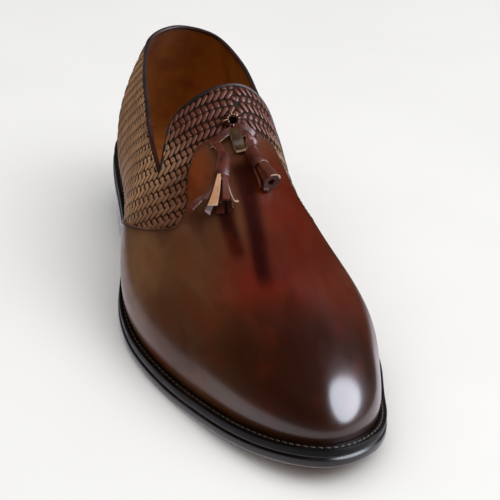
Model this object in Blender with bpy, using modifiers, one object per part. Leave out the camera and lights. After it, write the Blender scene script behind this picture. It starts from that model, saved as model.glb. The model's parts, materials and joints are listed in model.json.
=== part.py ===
"""Tassel loafer for the right foot: a hollow upper shaped on a last, a welted leather sole, a stacked heel
and a pair of tassels on the instep.

All sizes below are millimetres. A station is the distance from the back of the heel along the sole, an offset is
the distance from the sole's long axis (lateral side negative), and a height is measured from the floor.
A column of the last is named by its angle: 0 at the toe tip, 90 at the side of the instep, 180 at the heel back.
"""
import math
from typing import NamedTuple

import bmesh
import bpy
import numpy as np
from mathutils import Matrix, Vector

MM = 0.001
SHOE_NAME = "tassel_loafer"

# Driving dimensions
LENGTH = 302.0
OUTSOLE_THICKNESS = 5.5
WELT_THICKNESS = 3.2
INSOLE_THICKNESS = 2.6
VAMP_WALL = 2.6
QUARTER_WALL = 1.8
CLEARANCE = 0.3
WELT_SETBACK = 0.4
WELT_ROUNDING = 0.5
WELT_FIT = 0.5
INSOLE_FIT = 0.6

# Heel
HEEL_BREAST_STATION = 80.0
HEEL_BREAST_HOLLOW = 5.0
HEEL_TOP_PIECE_SPLIT = 35.0
HEEL_SEAT_BACK = 25.0
HEEL_SEAT_SLOPE = 0.0575
HEEL_SETBACK = 1.2
HEEL_TAPER = 0.045
TOP_PIECE_THICKNESS = 6.2
LIFT_THICKNESS = 4.9

# Tassels and their tie
TASSEL_TOP_RADIUS = 2.6
TASSEL_CAP_RADIUS = 3.9
TASSEL_RADIUS = 5.2
TASSEL_CAP_SHARE = 0.42
TASSEL_LIFT = 0.6
TASSEL_STRIPS = 11
STRIP_WIDTH = 2.3
STRIP_THICKNESS = 1.1
STRIP_OVERLAP = 1.5
STRIP_STAGGER = 1.2
FILLING_SHARE = 0.6
THONG_WIDTH = 3.6
THONG_THICKNESS = 1.4
THONG_LIFT = 0.2
KNOT_SIZE = (10.5, 8.0, 5.6)

# Mesh resolution
SOLE_POINTS = 96
HEEL_SIDE_POINTS = 13
BREAST_POINTS = 7
VAMP_COLUMNS = 16
BAND_COLUMNS = 3
TONGUE_COLUMNS = 3
QUARTER_COLUMNS = 14
WALL_ROWS = 9
CROWN_ROWS = 9
CROWN_SPACING = 1.2
SEAM_HALF_GAP = 0.14
SHARP_EDGE_ANGLE = 35.0


class OutlinePoint(NamedTuple):
    """A point that the edge of the sole passes through, seen from above."""

    place: str
    station: float
    offset: float


class Level(NamedTuple):
    """A height at a station."""

    station: float
    height: float


class RidgePoint(NamedTuple):
    """A point on the top line of the last."""

    station: float
    height: float
    offset: float


class FeatherInset(NamedTuple):
    """Distance of the last's bottom edge from the edge of the sole on each side, at a station."""

    station: float
    lateral: float
    medial: float


class WallShape(NamedTuple):
    """How the wall of the last leaves the sole and meets the ridge at a column angle, on each side."""

    angle: float
    lean_lateral: float
    lean_medial: float
    wall_pull: float
    crown_lateral: float
    crown_medial: float


class EdgePoint(NamedTuple):
    """A corner of the outsole's side: inset from its edge and lift above the tread."""

    inset: float
    lift: float


class CollarPoint(NamedTuple):
    """Height of the topline at a column angle."""

    angle: float
    height: float


class PanelLine(NamedTuple):
    """Column angles, at a rise up the wall, of the vamp's seam and of the line through the notch."""

    rise: float
    seam: float
    notch: float


OUTLINE = (
    OutlinePoint("heel back", 0.0, 0.0),
    OutlinePoint("heel corner, lateral", 12.0, -26.0),
    OutlinePoint("heel, lateral", 38.0, -35.5),
    OutlinePoint("seat, lateral", 75.0, -39.8),
    OutlinePoint("waist, lateral", 120.0, -44.6),
    OutlinePoint("joint, lateral", 162.0, -54.0),
    OutlinePoint("ball, lateral", 200.0, -52.5),
    OutlinePoint("toe, lateral", 250.0, -36.6),
    OutlinePoint("toe corner, lateral", 285.0, -17.8),
    OutlinePoint("toe tip", 302.0, 6.1),
    OutlinePoint("toe corner, medial", 287.0, 32.0),
    OutlinePoint("toe, medial", 255.0, 44.4),
    OutlinePoint("ball, medial", 214.0, 53.5),
    OutlinePoint("joint, medial", 170.0, 40.6),
    OutlinePoint("waist, medial", 125.0, 29.5),
    OutlinePoint("seat, medial", 75.0, 30.6),
    OutlinePoint("heel, medial", 38.0, 34.0),
    OutlinePoint("heel corner, medial", 12.0, 26.8),
)

# Underside of the outsole in front of the heel: arch, flat tread under the ball, toe spring
TREAD = (
    Level(HEEL_BREAST_STATION, HEEL_SEAT_BACK - HEEL_SEAT_SLOPE * HEEL_BREAST_STATION),
    Level(110.0, 15.0),
    Level(150.0, 5.5),
    Level(180.0, 0.9),
    Level(196.0, 0.0),
    Level(226.0, 0.0),
    Level(255.0, 1.8),
    Level(280.0, 4.4),
    Level(302.0, 8.5),
)

# Side of the outsole: rounded below, with a shallow groove under the welt
OUTSOLE_SIDE = (
    EdgePoint(1.4, 0.0),
    EdgePoint(0.4, 0.7),
    EdgePoint(0.0, 2.0),
    EdgePoint(0.0, 4.1),
    EdgePoint(0.9, 4.7),
    EdgePoint(0.9, OUTSOLE_THICKNESS),
)

FEATHER_INSETS = (
    FeatherInset(0.0, 5.2, 5.2),
    FeatherInset(110.0, 5.6, 5.3),
    FeatherInset(160.0, 6.3, 6.0),
    FeatherInset(200.0, 7.6, 6.8),
    FeatherInset(250.0, 8.2, 6.2),
    FeatherInset(302.0, 8.2, 8.2),
)
# Offset over which the lateral inset passes into the medial one at the toe and the heel
INSET_BLEND = 12.0

RIDGE = (
    RidgePoint(38.0, 125.6, 2.7),
    RidgePoint(90.0, 121.8, 2.9),
    RidgePoint(132.0, 103.5, 2.6),
    RidgePoint(152.0, 86.0, 3.4),
    RidgePoint(175.0, 74.3, 3.5),
    RidgePoint(200.0, 63.0, 3.8),
    RidgePoint(225.0, 55.4, 5.1),
    RidgePoint(245.0, 48.6, 6.6),
    RidgePoint(260.0, 43.6, 7.4),
)

WALL = (
    WallShape(0.0, 0.13, 0.13, 0.625, 0.60, 0.60),
    WallShape(40.0, 0.18, 0.20, 0.615, 0.56, 0.525),
    WallShape(75.0, 0.36, 0.20, 0.49, 0.475, 0.525),
    WallShape(100.0, 0.38, 0.36, 0.44, 0.545, 0.86),
    WallShape(120.0, 0.30, 0.29, 0.365, 0.44, 0.65),
    WallShape(140.0, 0.24, 0.18, 0.425, 0.11, 0.32),
    WallShape(160.0, 0.13, 0.15, 0.47, 0.11, 0.25),
    WallShape(180.0, 0.15, 0.15, 0.485, 0.17, 0.17),
)

# Columns behind this angle turn from facing sideways to facing back
HEEL_TURN_ANGLE = 130.0

NOTCH_ANGLE = 90.0
COLLAR = (
    CollarPoint(NOTCH_ANGLE, 67.5),
    CollarPoint(96.0, 73.5),
    CollarPoint(102.0, 77.5),
    CollarPoint(110.0, 81.0),
    CollarPoint(120.0, 84.5),
    CollarPoint(135.0, 87.5),
    CollarPoint(150.0, 89.5),
    CollarPoint(165.0, 91.2),
    CollarPoint(180.0, 92.3),
)

PANEL_LINES = (
    PanelLine(0.00, 103.0, 112.0),
    PanelLine(0.12, 100.0, 108.0),
    PanelLine(0.35, 87.0, 97.5),
    PanelLine(0.48, 80.0, 92.5),
    PanelLine(0.57, 77.0, 90.0),
    PanelLine(0.64, 79.0, 90.8),
    PanelLine(0.70, 86.0, 93.5),
    PanelLine(0.76, 89.5, 94.5),
    PanelLine(1.00, 90.0, 95.0),
)

# Free edge of the tongue: column angle, and rise of its lower corner
TONGUE_ANGLE = 99.0
TONGUE_CORNER_RISE = 0.62
TONGUE_CORNER_ROUND = 2.0


class VampPlace(NamedTuple):
    """A place on the vamp: column angle and rise."""

    angle: float
    rise: float


class TasselPlace(NamedTuple):
    """Where a tassel lies on the vamp."""

    node: str
    top: VampPlace
    end: VampPlace


TASSELS = (
    TasselPlace("tassel_lateral", VampPlace(-82.0, 0.89), VampPlace(-71.0, 0.775)),
    TasselPlace("tassel_medial", VampPlace(82.0, 0.985), VampPlace(74.5, 0.93)),
)
THONG_ANGLE = 86.5
KNOT_RISE = 0.955
THONG_LATERAL_RISES = (0.955, 0.93, 0.905, 0.88, 0.855)
THONG_RIDGE_RISES = (0.955, 0.97, 0.985)
THONG_MEDIAL_RISES = (0.985, 0.96, 0.935, 0.91)


def columns(table):
    """Returns the columns of a table of rows as number arrays, leaving out a row's name."""
    picked = [[value for value in row if not isinstance(value, str)] for row in table]
    return np.array(picked, dtype=float).T


def steady(stations, values, at):
    """Cubic through the values that never overshoots them."""
    step = np.diff(stations)
    slope = np.diff(values) / step
    tangent = np.zeros(len(values))
    for i in range(1, len(values) - 1):
        if slope[i - 1] * slope[i] > 0.0:
            before = 2.0 * step[i] + step[i - 1]
            after = step[i] + 2.0 * step[i - 1]
            tangent[i] = (before + after) / (before / slope[i - 1] + after / slope[i])
    tangent[0] = slope[0]
    tangent[-1] = slope[-1]
    return hermite(stations, values, tangent, at)


def flowing(stations, values, at):
    """Cubic through the values with slopes taken from their neighbours."""
    return hermite(stations, values, np.gradient(values, stations), at)


def hermite(stations, values, tangent, at):
    """Cubic through the values with the given slopes, held level past both ends."""
    step = np.diff(stations)
    at = np.clip(np.asarray(at, dtype=float), stations[0], stations[-1])
    k = np.clip(np.searchsorted(stations, at) - 1, 0, len(step) - 1)
    u = (at - stations[k]) / step[k]
    from_start = (1.0 + 2.0 * u) * (1.0 - u) ** 2 * values[k] + u * (1.0 - u) ** 2 * step[k] * tangent[k]
    from_end = u * u * (3.0 - 2.0 * u) * values[k + 1] + u * u * (u - 1.0) * step[k] * tangent[k + 1]
    return from_start + from_end


def closed_curve(points, per_span=40):
    """Periodic cubic spline through points in the plane."""
    count = len(points)
    chord = np.linalg.norm(np.roll(points, -1, 0) - points, axis=1)
    matrix = np.zeros((count, count))
    bend = np.zeros((count, 2))
    for i in range(count):
        after = (i + 1) % count
        matrix[i, i - 1] += chord[i - 1]
        matrix[i, i] += 2.0 * (chord[i - 1] + chord[i])
        matrix[i, after] += chord[i]
        bend[i] = 6.0 * ((points[after] - points[i]) / chord[i] - (points[i] - points[i - 1]) / chord[i - 1])
    curvature = np.linalg.solve(matrix, bend)
    spans = []
    for i in range(count):
        after = (i + 1) % count
        along = np.arange(per_span)[:, None] / per_span * chord[i]
        rest = chord[i] - along
        cubic = (curvature[i] * rest ** 3 + curvature[after] * along ** 3) / (6.0 * chord[i])
        start = (points[i] / chord[i] - curvature[i] * chord[i] / 6.0) * rest
        end = (points[after] / chord[i] - curvature[after] * chord[i] / 6.0) * along
        spans.append(cubic + start + end)
    return np.concatenate(spans)


def tread_height(station):
    """Height of the outsole's underside."""
    seat = HEEL_SEAT_BACK - HEEL_SEAT_SLOPE * np.asarray(station, dtype=float)
    return np.where(station < HEEL_BREAST_STATION, seat, steady(*columns(TREAD), station))


class Plan:
    """The edge of the sole seen from above, and edges drawn inside it."""

    def __init__(self):
        self.edge = closed_curve(columns(OUTLINE).T)
        travel = np.roll(self.edge, -1, 0) - np.roll(self.edge, 1, 0)
        travel /= np.linalg.norm(travel, axis=1)[:, None]
        self.outward = np.stack([-travel[:, 1], travel[:, 0]], axis=1)
        if np.sum((self.edge - self.edge.mean(0)) * self.outward) < 0.0:
            self.outward = -self.outward

    def sides(self, inset):
        """Returns the lateral and the medial edge, heel back to toe tip, moved in by an inset (or one a point)."""
        edge = self.edge - self.outward * np.broadcast_to(inset, len(self.edge))[:, None]
        start = int(np.argmin(edge[:, 0]))
        edge = np.roll(edge, -start, 0)
        toe = int(np.argmax(edge[:, 0]))
        lateral = edge[:toe + 1]
        medial = np.concatenate([edge[toe:], edge[:1]])[::-1]
        return lateral, medial

    def feather_inset(self):
        """Returns the last's inset at each point of the edge."""
        station, lateral, medial = columns(FEATHER_INSETS)
        share = np.clip((self.edge[:, 1] / INSET_BLEND + 1.0) / 2.0, 0.0, 1.0)
        share = share * share * (3.0 - 2.0 * share)
        on_lateral = steady(station, lateral, self.edge[:, 0])
        on_medial = steady(station, medial, self.edge[:, 0])
        return on_lateral + (on_medial - on_lateral) * share


class Ring:
    """One closed edge, read by column angle."""

    def __init__(self, lateral, medial):
        self.lateral = lateral
        self.medial = medial
        self.middle = (lateral[-1, 0] + lateral[0, 0]) / 2.0
        self.half = (lateral[-1, 0] - lateral[0, 0]) / 2.0

    def at(self, angle):
        """Returns stations and offsets at column angles, lateral ones negative."""
        angle = (np.asarray(angle, dtype=float) + 180.0) % 360.0 - 180.0
        station = self.middle + self.half * np.cos(np.radians(angle))
        lateral = np.interp(station, self.lateral[:, 0], self.lateral[:, 1])
        medial = np.interp(station, self.medial[:, 0], self.medial[:, 1])
        return station, np.where(angle < 0.0, lateral, medial)


def wall_shape(angle):
    """Returns the lean, wall pull and crown pull of the last at column angles, lateral ones negative."""
    angles, lean_lateral, lean_medial, wall_pull, crown_lateral, crown_medial = columns(WALL)
    size = np.abs(angle)
    lean = np.where(angle < 0.0, flowing(angles, lean_lateral, size), flowing(angles, lean_medial, size))
    crown = np.where(angle < 0.0, flowing(angles, crown_lateral, size), flowing(angles, crown_medial, size))
    return lean, flowing(angles, wall_pull, size), crown


class Last:
    """The form that the upper is pulled over: columns that rise from the feather edge to the ridge."""

    def __init__(self, plan):
        self.feather = Ring(*plan.sides(plan.feather_inset()))
        self.ridge = columns(RIDGE)

    def ridge_point(self, angle):
        """Returns points on the ridge (offset, station, height) and the ridge's slope there."""
        station, height, offset = self.ridge
        middle = (station[-1] + station[0]) / 2.0
        half = (station[-1] - station[0]) / 2.0
        at = middle + half * np.cos(np.radians(angle))
        reach = 0.5
        ahead = np.minimum(at + reach, station[-1])
        behind = np.maximum(at - reach, station[0])
        slope = (flowing(station, height, ahead) - flowing(station, height, behind)) / (ahead - behind)
        point = np.stack([flowing(station, offset, at), at, flowing(station, height, at)], axis=-1)
        return point, slope

    def frame(self, angle):
        """Returns the four control points of the cubic column at each angle."""
        angle = np.asarray(angle, dtype=float)
        size = np.abs(angle)
        side = np.where(angle < 0.0, -1.0, 1.0)
        station, offset = self.feather.at(angle)
        lean, wall_pull, crown_pull = wall_shape(angle)

        spread = 1.0
        ahead = np.stack(self.feather.at(angle + spread), axis=-1)
        behind = np.stack(self.feather.at(angle - spread), axis=-1)
        along = ahead - behind
        normal = np.stack([along[..., 0], -along[..., 1]], axis=-1)
        normal /= np.linalg.norm(normal, axis=-1)[..., None]
        inward = np.sum(normal * np.stack([offset, station - self.feather.middle], axis=-1), axis=-1) < 0.0
        normal = np.where(inward[..., None], -normal, normal)

        # The foot clears the sole under the wall's outer face too, which leans down as it is thickened
        outer_station = station + normal[..., 1] * VAMP_WALL
        ground = np.maximum(tread_height(station), tread_height(outer_station))
        seat = ground + OUTSOLE_THICKNESS + CLEARANCE + lean * VAMP_WALL
        foot = np.stack([offset, station, seat], axis=-1)
        top, slope = self.ridge_point(angle)

        height = (top - foot)[..., 2]
        width = np.linalg.norm((top - foot)[..., :2], axis=-1)
        rise = np.concatenate([lean[..., None] * normal, np.ones(lean.shape)[..., None]], axis=-1)
        shoulder = foot + rise * (wall_pull * height)[..., None]
        facing = np.minimum(size, 90.0) + np.maximum(size - HEEL_TURN_ANGLE, 0.0) * 90.0 / (180.0 - HEEL_TURN_ANGLE)
        facing = np.radians(facing)
        level = np.stack([side * np.sin(facing), np.cos(facing), np.cos(facing) * slope], axis=-1)
        crown = top + level * (crown_pull * width)[..., None]
        return foot, shoulder, crown, top

    def point(self, angle, rise):
        """Returns points (offset, station, height) at column angles and rises from 0 (feather) to 1 (ridge)."""
        foot, shoulder, crown, top = self.frame(angle)
        u = np.asarray(rise, dtype=float)[..., None]
        lower = (1.0 - u) ** 3 * foot + 3.0 * u * (1.0 - u) ** 2 * shoulder
        return lower + 3.0 * u * u * (1.0 - u) * crown + u ** 3 * top

    def rise_at_height(self, angle, height):
        """Returns the rise at which a column reaches a height."""
        rises = np.linspace(0.0, 1.0, 200)
        heights = self.point(np.full(rises.shape, angle), rises)[:, 2]
        return float(np.interp(height, heights, rises))

    def outward(self, angle, rise):
        """Returns the unit normal of the last at one place, pointing out of it."""
        turn = 0.5
        lift = 0.005
        along = self.point(np.array(angle + turn), np.array(rise)) - self.point(np.array(angle - turn), np.array(rise))
        up = self.point(np.array(angle), np.array(rise + lift)) - self.point(np.array(angle), np.array(rise - lift))
        normal = np.cross(along, up)
        normal /= np.linalg.norm(normal)
        return normal if normal[2] > 0.0 else -normal


PLAN = Plan()
LAST = Last(PLAN)
WIDTH_CENTRE = (PLAN.edge[:, 1].min() + PLAN.edge[:, 1].max()) / 2.0


def world(points):
    """Turns (offset, station, height) in millimetres into metres with the toe towards -Y."""
    points = np.asarray(points, dtype=float)
    x = points[..., 0] - WIDTH_CENTRE
    y = LENGTH / 2.0 - points[..., 1]
    return np.stack([x, y, points[..., 2]], axis=-1) * MM


def clear_scene():
    """Removes every object of the scene that the script starts in."""
    for item in list(bpy.data.objects):
        bpy.data.objects.remove(item, do_unlink=True)


def linear(hex_colour):
    """Turns an sRGB colour such as 4A2A1C into linear red, green, blue and alpha."""
    channels = [int(hex_colour[i:i + 2], 16) / 255.0 for i in (0, 2, 4)]
    bright = [c / 12.92 if c <= 0.04045 else ((c + 0.055) / 1.055) ** 2.4 for c in channels]
    return (*bright, 1.0)


def finish(name, hex_colour, roughness, metallic=0.0):
    """Makes a plain material."""
    material = bpy.data.materials.new(name)
    material.use_nodes = True
    shader = material.node_tree.nodes["Principled BSDF"]
    shader.inputs["Base Color"].default_value = linear(hex_colour)
    shader.inputs["Roughness"].default_value = roughness
    shader.inputs["Metallic"].default_value = metallic
    return material


def add_object(name, mesh, material, parent, collection):
    """Links a mesh to the shoe as one named piece."""
    mesh.materials.append(material)
    piece = bpy.data.objects.new(name, mesh)
    piece.parent = parent
    collection.objects.link(piece)
    mesh.shade_smooth()
    mesh.set_sharp_from_angle(angle=math.radians(SHARP_EDGE_ANGLE))
    return piece


def loft(name, rings, caps):
    """Joins closed rings of equal count, in order, by faces.

    caps is "rows" to close both ends across the shoe, "flat" to close them with one face each, or "loop" to
    join the last ring back to the first.
    """
    bm = bmesh.new()
    loops = [[bm.verts.new(point) for point in world(ring)] for ring in rings]
    count = len(loops[0])
    pairs = list(zip(loops, loops[1:]))
    if caps == "loop":
        pairs.append((loops[-1], loops[0]))
    for lower, upper in pairs:
        for i in range(count):
            j = (i + 1) % count
            bm.faces.new((lower[i], lower[j], upper[j], upper[i]))
    for loop in (loops[0], loops[-1]):
        if caps == "flat":
            bm.faces.new(loop)
        elif caps == "rows":
            close_in_rows(bm, loop)
    bmesh.ops.recalc_face_normals(bm, faces=bm.faces)
    mesh = bpy.data.meshes.new(name)
    bm.to_mesh(mesh)
    bm.free()
    return mesh


def close_in_rows(bm, loop):
    """Closes a ring that runs from the heel back to the toe and round again with strips across the shoe."""
    half = len(loop) // 2
    for i in range(half):
        corners = [loop[i], loop[i + 1], loop[-i - 1], loop[-i % len(loop)]]
        bm.faces.new(list(dict.fromkeys(corners)))


def sole_angles():
    """Returns the column angles of the sole's rings, from the heel back over the lateral side."""
    return np.arange(SOLE_POINTS) * 360.0 / SOLE_POINTS - 180.0


def sole_ring(inset, lift):
    """Returns a ring at an inset from the sole's edge, lifted off the tread."""
    station, offset = Ring(*PLAN.sides(inset)).at(sole_angles())
    return np.stack([offset, station, tread_height(station) + lift], axis=-1)


def build_outsole():
    """Leather outsole with a rounded edge and a shallow groove under the welt."""
    return loft("outsole", [sole_ring(corner.inset, corner.lift) for corner in OUTSOLE_SIDE], "rows")


def build_insole():
    """Insole board that fills the last's bottom edge."""
    inset = PLAN.feather_inset() + INSOLE_FIT
    base = OUTSOLE_THICKNESS + CLEARANCE
    rings = [sole_ring(inset, base), sole_ring(inset, base + INSOLE_THICKNESS)]
    return loft("insole", rings, "rows")


def build_welt():
    """Welt strip between the outsole and the foot of the upper."""
    station = PLAN.edge[:, 0]
    seam_foot = LAST.feather.at(PANEL_LINES[0].seam)[0] - WELT_THICKNESS
    wall = np.where(station > seam_foot, VAMP_WALL, QUARTER_WALL)
    share = np.clip((station - LAST.feather.middle) / LAST.feather.half, -1.0, 1.0)
    lean = wall_shape(np.degrees(np.arccos(share)) * np.where(PLAN.edge[:, 1] < 0.0, -1.0, 1.0))[0]

    def inner_inset(lift):
        return PLAN.feather_inset() - wall - WELT_FIT - lean * (lift - OUTSOLE_THICKNESS)

    bottom = OUTSOLE_THICKNESS + CLEARANCE
    top = bottom + WELT_THICKNESS
    rings = [
        sole_ring(inner_inset(bottom), bottom),
        sole_ring(WELT_SETBACK, bottom),
        sole_ring(WELT_SETBACK, top - WELT_ROUNDING),
        sole_ring(WELT_SETBACK + WELT_ROUNDING, top),
        sole_ring(inner_inset(top), top),
    ]
    return loft("welt", rings, "loop")


def heel_ring(inset, back, front, hollow, height):
    """Returns a closed ring of the heel between two stations, with its front face hollowed."""
    lateral, medial = PLAN.sides(inset)
    sweep = np.linspace(0.0, 1.0, HEEL_SIDE_POINTS)
    if back <= 0.0:
        station = lateral[0, 0] + (front - lateral[0, 0]) * (1.0 - np.cos(sweep * math.pi / 2.0))
    else:
        station = back + (front - back) * sweep
    left = np.stack([np.interp(station, lateral[:, 0], lateral[:, 1]), station], axis=-1)[::-1]
    right = np.stack([np.interp(station, medial[:, 0], medial[:, 1]), station], axis=-1)
    if back <= 0.0:
        right = right[1:]
    ring = np.concatenate([left, right])
    if hollow > 0.0:
        across = np.linspace(1.0, -1.0, BREAST_POINTS + 2)[1:-1]
        middle = (left[0, 0] + right[-1, 0]) / 2.0
        half = (right[-1, 0] - left[0, 0]) / 2.0
        breast = np.stack([middle + half * across, front - hollow * (1.0 - across ** 2)], axis=-1)
        ring = np.concatenate([ring, breast])
    return np.concatenate([ring, np.broadcast_to(height, len(ring))[:, None]], axis=-1)


def heel_block(name, bottom, top, back=0.0, front=HEEL_BREAST_STATION, hollow=HEEL_BREAST_HOLLOW):
    """A slice of the heel between two heights; no top means up to the heel seat."""
    level = TREAD[0].height if top is None else top
    lower_inset, upper_inset = (HEEL_SETBACK + HEEL_TAPER * (HEEL_SEAT_BACK - z) for z in (bottom, level))
    lower = heel_ring(lower_inset, back, front, hollow, bottom)
    upper = heel_ring(upper_inset, back, front, hollow, level)
    if top is None:
        upper[:, 2] = tread_height(upper[:, 1]) - CLEARANCE
    return loft(name, [lower, upper], "flat")


def panel_angle(column, rise):
    """Returns the column angle of a mesh column, bent so that seam and notch lie on columns.

    column runs 0 to 1 over the vamp, 1 to 2 over the band behind its seam, and 2 to 3 from the notch to the heel.
    """
    rises, seam, notch = columns(PANEL_LINES)
    at_seam = float(steady(rises, seam, rise))
    at_notch = float(steady(rises, notch, rise))
    return float(np.interp(column, (0.0, 1.0, 2.0, 3.0), (0.0, at_seam, at_notch, 180.0)))


def collar_rise(column):
    """Returns the rise of the topline on a mesh column at or behind the notch."""
    angles, heights = columns(COLLAR)
    rise = 0.5
    for _ in range(6):
        angle = panel_angle(column, rise)
        height = float(steady(angles, heights, angle))
        rise = (LAST.rise_at_height(-angle, height) + LAST.rise_at_height(angle, height)) / 2.0
    return rise


class UpperMesh:
    """The last's surface as an open mesh, cut along the topline, the notches and the tongue's edge."""

    def __init__(self):
        self.bm = bmesh.new()
        self.places = {}
        self.vamp = []
        self.notch_rise = collar_rise(2.0)

    def vertex(self, key, side, angle, rise, on_vamp):
        """Returns the vertex of a mesh place; places on the ridge, toe and heel lines serve both sides."""
        tiny = 1e-9
        shared = rise >= 1.0 - tiny or angle <= tiny or angle >= 180.0 - tiny
        full_key = (key, 0 if shared else side)
        if full_key not in self.places:
            point = LAST.point(np.array(side * angle), np.array(min(rise, 1.0)))
            found = self.bm.verts.new(world(point))
            self.places[full_key] = found
            if on_vamp:
                self.vamp.append(found)
        return self.places[full_key]

    def sheet(self, side, steps, rows, place):
        """Adds faces over steps and rows; place gives the key, angle, rise and panel of a corner."""
        for step in range(steps):
            for row in range(rows):
                corners = [(step, row), (step + 1, row), (step + 1, row + 1), (step, row + 1)]
                loop = [self.vertex(key, side, angle, rise, panel)
                        for key, angle, rise, panel in (place(*corner) for corner in corners)]
                loop = list(dict.fromkeys(loop))
                if len(loop) < 3:
                    continue
                self.bm.faces.new(loop if side > 0 else loop[::-1])


def build_upper():
    """Upper as one wall: the vamp's leather is thicker and laps over the band and quarters at its seam."""
    upper = UpperMesh()
    # Mesh columns from the toe line to the notch, with a close pair at the seam: column, shift, on the vamp
    vamp = np.linspace(0.0, 1.0, VAMP_COLUMNS + 1)
    band = np.linspace(1.0, 2.0, BAND_COLUMNS + 1)
    front = [(column, -SEAM_HALF_GAP if column == 1.0 else 0.0, True) for column in vamp]
    front += [(column, SEAM_HALF_GAP if column == 1.0 else 0.0, False) for column in band]
    quarter = np.linspace(2.0, 3.0, QUARTER_COLUMNS + 1)
    topline = [collar_rise(column) for column in quarter]
    tongue = np.linspace(0.0, 1.0, TONGUE_COLUMNS + 1)
    crown = np.linspace(0.0, 1.0, CROWN_ROWS + 1) ** CROWN_SPACING

    def wall_place(step, row):
        column, shift, panel = front[step]
        rise = upper.notch_rise * row / WALL_ROWS
        return ("wall", step, row), panel_angle(column, rise) + shift, rise, panel

    def quarter_place(step, row):
        if step == 0:
            return wall_place(len(front) - 1, row)
        rise = topline[step] * row / WALL_ROWS
        return ("quarter", step, row), panel_angle(quarter[step], rise), rise, False

    def crown_place(step, row):
        if row == 0:
            return wall_place(step, WALL_ROWS)
        column, shift, panel = front[step]
        rise = upper.notch_rise + (1.0 - upper.notch_rise) * crown[row]
        return ("crown", step, row), panel_angle(column, rise) + shift, rise, panel

    def tongue_place(step, row):
        if step == 0:
            return crown_place(len(front) - 1, row)
        share = tongue[step]
        start = upper.notch_rise + (TONGUE_CORNER_RISE - upper.notch_rise) * share
        rise = start + (1.0 - start) * crown[row]
        notch = panel_angle(2.0, rise)
        edge = TONGUE_ANGLE - TONGUE_CORNER_ROUND * math.exp(-row)
        return ("tongue", step, row), notch + (edge - notch) * share, rise, False

    for side in (-1, 1):
        upper.sheet(side, len(front) - 1, WALL_ROWS, wall_place)
        upper.sheet(side, QUARTER_COLUMNS, WALL_ROWS, quarter_place)
        upper.sheet(side, len(front) - 1, CROWN_ROWS, crown_place)
        upper.sheet(side, TONGUE_COLUMNS, CROWN_ROWS, tongue_place)

    upper.bm.verts.index_update()
    thick = [vertex.index for vertex in upper.vamp]
    mesh = bpy.data.meshes.new("upper")
    upper.bm.to_mesh(mesh)
    upper.bm.free()
    return mesh, thick


def thicken_upper(piece, thick):
    """Gives the upper its wall, outward from the last, full over the vamp and thinner behind its seam."""
    group = piece.vertex_groups.new(name="vamp")
    group.add(thick, 1.0, "REPLACE")
    wall = piece.modifiers.new("leather", "SOLIDIFY")
    wall.thickness = VAMP_WALL * MM
    wall.offset = 1.0
    wall.use_even_offset = True
    wall.vertex_group = group.name
    wall.thickness_vertex_group = QUARTER_WALL / VAMP_WALL


def on_vamp(place, lift):
    """Returns a point lifted off the vamp's outer face, and the direction out of the vamp there."""
    normal = LAST.outward(place.angle, place.rise)
    base = LAST.point(np.array(place.angle), np.array(place.rise))
    point = world(base + normal * (VAMP_WALL + CLEARANCE + lift))
    return Vector(point), Vector((normal[0], -normal[1], normal[2]))


def placed(origin, along, out):
    """Returns the matrix whose Z runs along a direction and whose Y points out of the vamp."""
    z = along.normalized()
    x = out.cross(z).normalized()
    y = z.cross(x)
    return Matrix.Translation(origin) @ Matrix((x, y, z)).transposed().to_4x4()


def cone(name, top_radius, end_radius, start, length, matrix):
    """A turned piece that widens from its top along Z."""
    bm = bmesh.new()
    middle = Matrix.Translation((0.0, 0.0, (start + length / 2.0) * MM))
    bmesh.ops.create_cone(bm, cap_ends=True, segments=16, radius1=top_radius * MM, radius2=end_radius * MM,
                          depth=length * MM, matrix=matrix @ middle)
    mesh = bpy.data.meshes.new(name)
    bm.to_mesh(mesh)
    bm.free()
    return mesh


def strip(name, number, start, length, matrix):
    """One cut strip of a tassel's skirt, leaning out towards its end."""
    bm = bmesh.new()
    around = Matrix.Rotation(2.0 * math.pi * number / TASSEL_STRIPS, 4, "Z")
    inner = TASSEL_CAP_RADIUS - STRIP_THICKNESS / 2.0
    outer = TASSEL_RADIUS - STRIP_THICKNESS
    flare = Matrix.Rotation(math.atan2(outer - inner, length), 4, "Y")
    size = Matrix.Diagonal((STRIP_THICKNESS * MM, STRIP_WIDTH * MM, length * MM, 1.0))
    place = Matrix.Translation(((inner + outer) / 2.0 * MM, 0.0, (start + length / 2.0) * MM))
    bmesh.ops.create_cube(bm, size=1.0, matrix=matrix @ around @ place @ flare @ size)
    mesh = bpy.data.meshes.new(name)
    bm.to_mesh(mesh)
    bm.free()
    return mesh


def add_cutter(name, mesh, collection):
    """Links a mesh that only serves to be fused into a piece."""
    helper = bpy.data.objects.new(name, mesh)
    helper.hide_render = True
    helper.display_type = "WIRE"
    collection.objects.link(helper)
    return helper


def fuse(piece, helpers):
    """Fuses every object of a collection into a piece."""
    union = piece.modifiers.new("fused", "BOOLEAN")
    union.operation = "UNION"
    union.operand_type = "COLLECTION"
    union.collection = helpers
    union.solver = "EXACT"


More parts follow.
